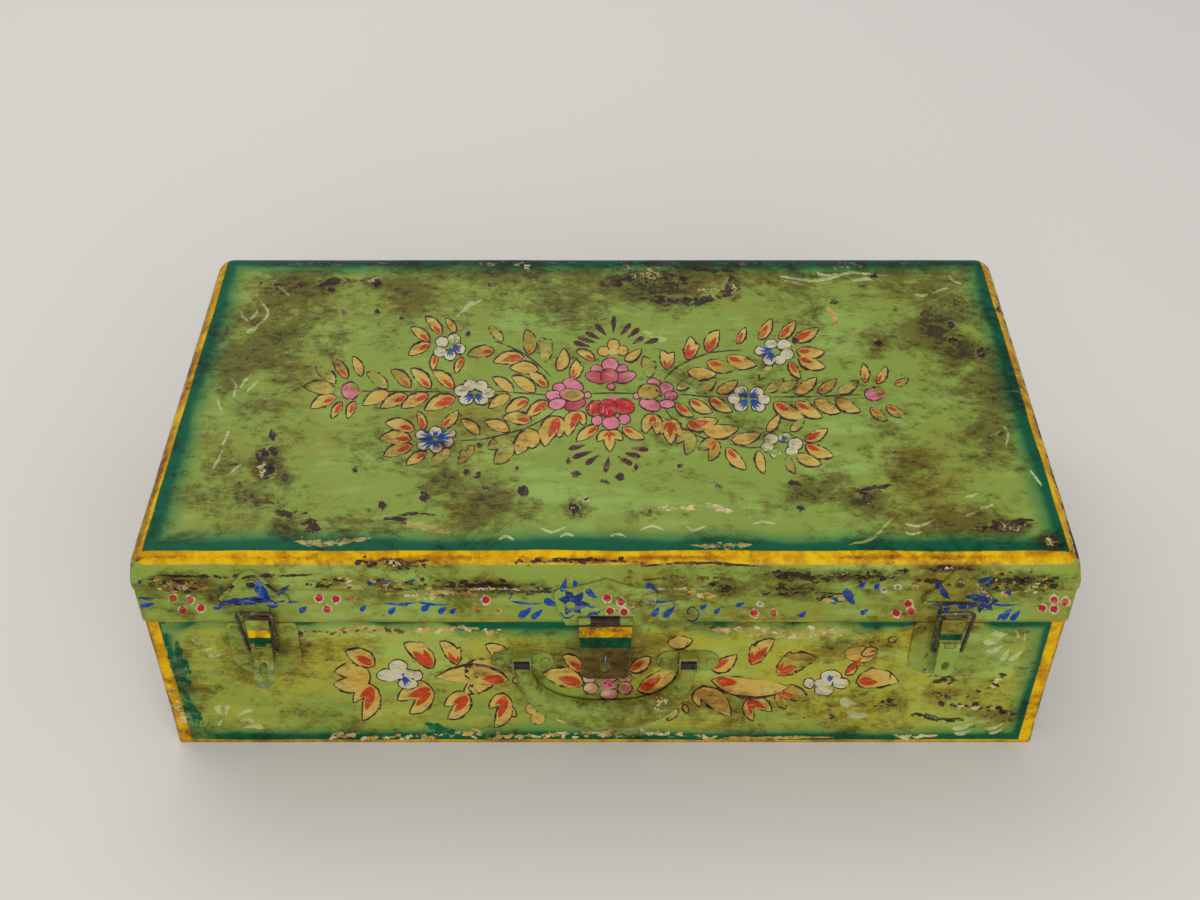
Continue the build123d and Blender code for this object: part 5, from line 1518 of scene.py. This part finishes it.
def paint_base_front(front):
    """All strokes on the base's front, from the lowest to the highest."""
    front.each(0.03, front.scuff, BASE_SCUFFS)
    for points in GREEN_SCRIBBLE:
        front.start(0.03)
        front.scuff(points, 7, DEEP_GREEN, 0.14)
    front.each(0.04, front.clumps, BASE_SCABS)
    front.each(0.05, front.blade, BASE_CREAM, HAZE, 0.10, 0.1)
    front.each(0.05, front.cleft, BASE_CLEFTS, 0.44)
    front.each(0.12, front.leaf, BASE_LEAVES, 0.50)
    front.each(0.08, front.blossom, BASE_BLOSSOMS)
    front.start(0.08)
    u, v = ROSETTE
    for across, down, wide, high in ROSETTE_PETALS:
        front.petal((u + across, v + down), wide, high, 0, CREAM, ROSE, 0.05)
    front.blob(ROSETTE, 7.5, 5.5, 0, ROSE, PINK, 0.05)
    for across, down in ((-3, -1), (2, 1), (5, -2)):
        front.blob((u + across, v + down), 1.4, 1.2, 0, RED)
    for centre, radius in (((531.5, 708.5), 6), ((538, 718), 7)):
        front.start(0.06)
        front.petal(centre, radius, radius * 0.85, 0, LEAF_OCHRE, LEAF_PALE, 0.06, 0.8)
    front.petal((860, 654), 15, 8, 4, LEAF_OCHRE, LEAF_PALE, 0.04, 1.0)
    front.blade((850, 671), (862, 657), 5, FLAME, 0.04)
    for place in ((941, 703), (890, 700), (832, 716), (300, 633)):
        front.start(0.08)
        front.chip(place, 3.2, 2.2, 20)


SPRIG_PETALS = (
    (-9, -5, 7, 6, 0.05), (9, -5, 7, 6, 0.05), (0, -10, 7, 6, 0.02), (-6, 8, 7, 6, 0.05),
    (6, 8, 7, 6, 0.05),
)
SPRIG_LOOKS = ("warm", "plain", "red", "worn")


def paint_sprig(sheet, x, y):
    """A small spray about a centre, its leaves pointing away to both sides."""
    for side in (-1, 1):
        sheet.start(0.05)
        sheet.line(((x + side * 8, y), (x + side * 38, y - 5), (x + side * 70, y - 2)), 1.6, INK, 0.02, 22)
        for k in range(4):
            root = x + side * (18 + 14 * k)
            for lean in (-1, 1):
                sheet.start(0.06)
                look = SPRIG_LOOKS[(k + (lean > 0)) % 4]
                sheet.leaf((root, y - 3 + 3 * lean), (root + side * 14, y - 3 + 15 * lean), look, 0.42)
        sheet.start(0.08)
        sheet.petal((x + side * 76, y - 2), 6, 6, 0, PINK, ROSE, 0.06)
    sheet.start(0.10)
    sheet.blossom((x, y), SPRIG_PETALS, (0, 2, 3))
    sheet.blob((x, y), 4, 3.6, 0, RED, ROSE)


def paint_end(lid_sheet, base_sheet):
    """The trunk's ends and back, in millimetres: the front's ornament in short."""
    paint_sprig(base_sheet, 0, 120)
    for x in (-118, 118):
        base_sheet.start(0.05)
        base_sheet.cleft((x, 132), ((x - 12, 112), (x + 12, 112)), "warm")
        for lean in (-16, 0, 16):
            base_sheet.start(0.05)
            base_sheet.blade((x + lean, 152), (x + lean * 0.3, 140), 5, CREAM, 0.1)
    for k in range(-4, 5):
        x = 30 * k
        lid_sheet.start(0.06)
        lid_sheet.blade((x - 12, 44), (x - 4, 34), 5, NAVY, 0.04)
        lid_sheet.blade((x + 12, 34), (x + 5, 45), 4, NAVY, 0.06)
        lid_sheet.dot((x, 42), 3.0, 0.05 if k % 2 else 0.0)


# ------------------------------------------------------ finishes of CAD nodes
# Painted bands: from and up to what height in millimetres, and the colour.
STRAP_BANDS = (
    (0.0, 113.0, STRAP_BROWN), (113.0, 121.5, DEEP_GREEN), (121.5, 129.5, YELLOW),
    (129.5, 200.0, DARK_IRON),
)
LATCH_LEFT_BANDS = ((120.5, 127.5, YELLOW), (114.2, 120.5, DEEP_GREEN))
LATCH_RIGHT_BANDS = ((118.0, 124.0, DEEP_GREEN),)
LEVER_LEFT_BANDS = ((0.0, 88.0, TAB_STEEL), (88.0, 100.0, PALE_LIME))
HANDLE_BANDS = ((88.5, 120.0, TARNISH),)
FITTINGS = {
    "plate": fitting("fitting_paint", grime=0.2),
    "keeper": fitting("keeper_paint", -0.04, wear=0.12, grime=0.1, rubbed=2.2, rim=KEEPER_RIM),
    "hasp_plate": fitting("hasp_plate_paint", 0.0, wear=0.14, grime=0.2, rubbed=2.0),
    "strap": fitting("strap_paint", 0.1, STRAP_BANDS, 0.12),
    "latch_left": fitting("latch_paint_left", 0.0, LATCH_LEFT_BANDS, 0.14, 0.1, proud=True),
    "latch_right": fitting("latch_paint_right", 0.0, LATCH_RIGHT_BANDS, 0.14, 0.1, proud=True),
    "lever_left": fitting("lever_paint_left", 0.0, LEVER_LEFT_BANDS, 0.2, 0.3),
    "lever_right": fitting("lever_paint_right", -0.06, (), 0.2, 0.0),
    "handle": fitting("handle_paint", -0.02, HANDLE_BANDS, 0.22, 0.15, 2.2),
    "bracket": fitting("bracket_paint", -0.02, (), 0.22, 0.15),
    "iron": steel("dark_steel", srgb(58, 50, 44), srgb(96, 88, 78), 0.5),
    "bail": steel("bail_steel", srgb(46, 38, 34), srgb(84, 74, 64), 0.7),
    "staple": steel("staple_steel", srgb(84, 88, 96), srgb(140, 146, 156), 0.2),
}
# The first of these that a node's name starts with gives its finish.
FINISH_OF = (
    ("base_floor", INSIDE), ("staple_plate", FITTINGS["plate"]), ("staple", FITTINGS["staple"]),
    ("hasp_pin", FITTINGS["iron"]), ("hasp_strap", FITTINGS["strap"]),
    ("hasp_plate", FITTINGS["hasp_plate"]), ("latch_bail", FITTINGS["bail"]),
    ("latch_plate_left", FITTINGS["latch_left"]), ("latch_plate_right", FITTINGS["latch_right"]),
    ("latch_lever_pin", FITTINGS["iron"]), ("latch_lever_left", FITTINGS["lever_left"]),
    ("latch_lever_right", FITTINGS["lever_right"]), ("keeper_rivet", FITTINGS["keeper"]),
    ("keeper", FITTINGS["keeper"]), ("handle_grip", FITTINGS["handle"]), ("handle_pin", FITTINGS["iron"]),
    ("handle_bracket", FITTINGS["bracket"]), ("hinge_pin", FITTINGS["iron"]), ("", FITTINGS["plate"]),
)
SHEETS = ("lid_top", "lid_skirt", "base_wall")
for node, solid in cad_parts.items():
    if node not in SHEETS:
        finish = next(paint for start, paint in FINISH_OF if node.startswith(start))
        solid.data.materials.clear()
        solid.data.materials.append(finish)


def cad_nodes(*names):
    return [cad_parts[name] for name in names]


LID_SHEETS = [lid_top, lid_skirt] + cad_nodes("hasp_plate", "keeper_left", "keeper_right")
BASE_SHEETS = [base_wall] + cad_nodes("staple_plate", "latch_plate_left", "latch_plate_right")
LID_BRUSHWORK = brushwork("lid_brushwork", lid_colour)
BASE_BRUSHWORK = brushwork("base_brushwork", base_colour)

lid_canvas = Canvas("lid_top_flowers", "lid", [lid_top], from_camera)
paint_lid_top(lid_canvas)
lid_canvas.finish(LID_BRUSHWORK)
front_canvas = Canvas("lid_front_dots_and_blades", "lid", LID_SHEETS, from_camera)
paint_lid_front(front_canvas)
front_canvas.finish(LID_BRUSHWORK)
base_canvas = Canvas("base_front_flowers", "base", BASE_SHEETS, from_camera)
paint_base_front(base_canvas)
base_canvas.finish(BASE_BRUSHWORK)
for side, ray in (("left", from_side(-1)), ("right", from_side(1)), ("back", from_back)):
    lid_side = Canvas("lid_%s_ornament" % side, "lid", [lid_top, lid_skirt], ray)
    base_side = Canvas("base_%s_ornament" % side, "base", [base_wall], ray)
    paint_end(lid_side, base_side)
    lid_side.finish(LID_BRUSHWORK)
    base_side.finish(BASE_BRUSHWORK)


# --------------------------------------------------------------------- stage
FLOOR_REACH = 9.0
FLOOR_DROP = 0.2 * MM
SKY, SKY_STRENGTH = (0.93, 0.96, 1.0, 1.0), 0.62
BACKDROP, BACKDROP_STRENGTH = (0.86, 0.85, 0.83, 1.0), 1.0
LAMP_AIM = Vector((0, 0, 0.1))
LAMP_SIZE = (2.4, 1.6)
# Lamps: name, place in metres, power in watts and colour.
LAMPS = (
    ("window", (-0.7, 1.2, 2.2), 25, (1.0, 0.98, 0.95)),
    ("front_fill", (0.4, -2.4, 1.5), 46, (1.0, 0.99, 0.97)),
)


def make_floor():
    """A plain grey floor, a hair below the trunk."""
    mesh = bpy.data.meshes.new("floor")
    corners = [(x * FLOOR_REACH, y * FLOOR_REACH, 0) for x, y in ((-1, -1), (1, -1), (1, 1), (-1, 1))]
    mesh.from_pydata(corners, [], [(0, 1, 2, 3)])
    floor = bpy.data.objects.new("floor", mesh)
    bpy.context.scene.collection.objects.link(floor)
    s = Shader("floor")
    mesh.materials.append(s.finish(FLOOR_GREY, 0.0, 0.75))
    floor.location.z = -FLOOR_DROP


def make_lamp(name, place, power, colour):
    lamp = bpy.data.lights.new(name, "AREA")
    lamp.shape = "RECTANGLE"
    lamp.size, lamp.size_y = LAMP_SIZE
    lamp.energy = power
    lamp.color = colour
    holder = bpy.data.objects.new(name, lamp)
    bpy.context.scene.collection.objects.link(holder)
    holder.location = place
    holder.rotation_euler = (LAMP_AIM - Vector(place)).to_track_quat("-Z", "Y").to_euler()


def make_world():
    """Soft light all round; the camera itself sees the backdrop instead."""
    world = bpy.data.worlds.new("studio")
    bpy.context.scene.world = world
    world.use_nodes = True
    nodes, links = world.node_tree.nodes, world.node_tree.links
    background = nodes["Background"]
    background.inputs["Color"].default_value = SKY
    background.inputs["Strength"].default_value = SKY_STRENGTH
    pale = nodes.new("ShaderNodeBackground")
    pale.inputs["Color"].default_value = BACKDROP
    pale.inputs["Strength"].default_value = BACKDROP_STRENGTH
    path = nodes.new("ShaderNodeLightPath")
    seen = nodes.new("ShaderNodeMixShader")
    links.new(path.outputs["Is Camera Ray"], seen.inputs[0])
    links.new(background.outputs[0], seen.inputs[1])
    links.new(pale.outputs[0], seen.inputs[2])
    links.new(seen.outputs[0], nodes["World Output"].inputs[0])


make_floor()
for name, place, power, colour in LAMPS:
    make_lamp(name, place, power, colour)
make_world()
bpy.context.scene.view_settings.view_transform = "Standard"
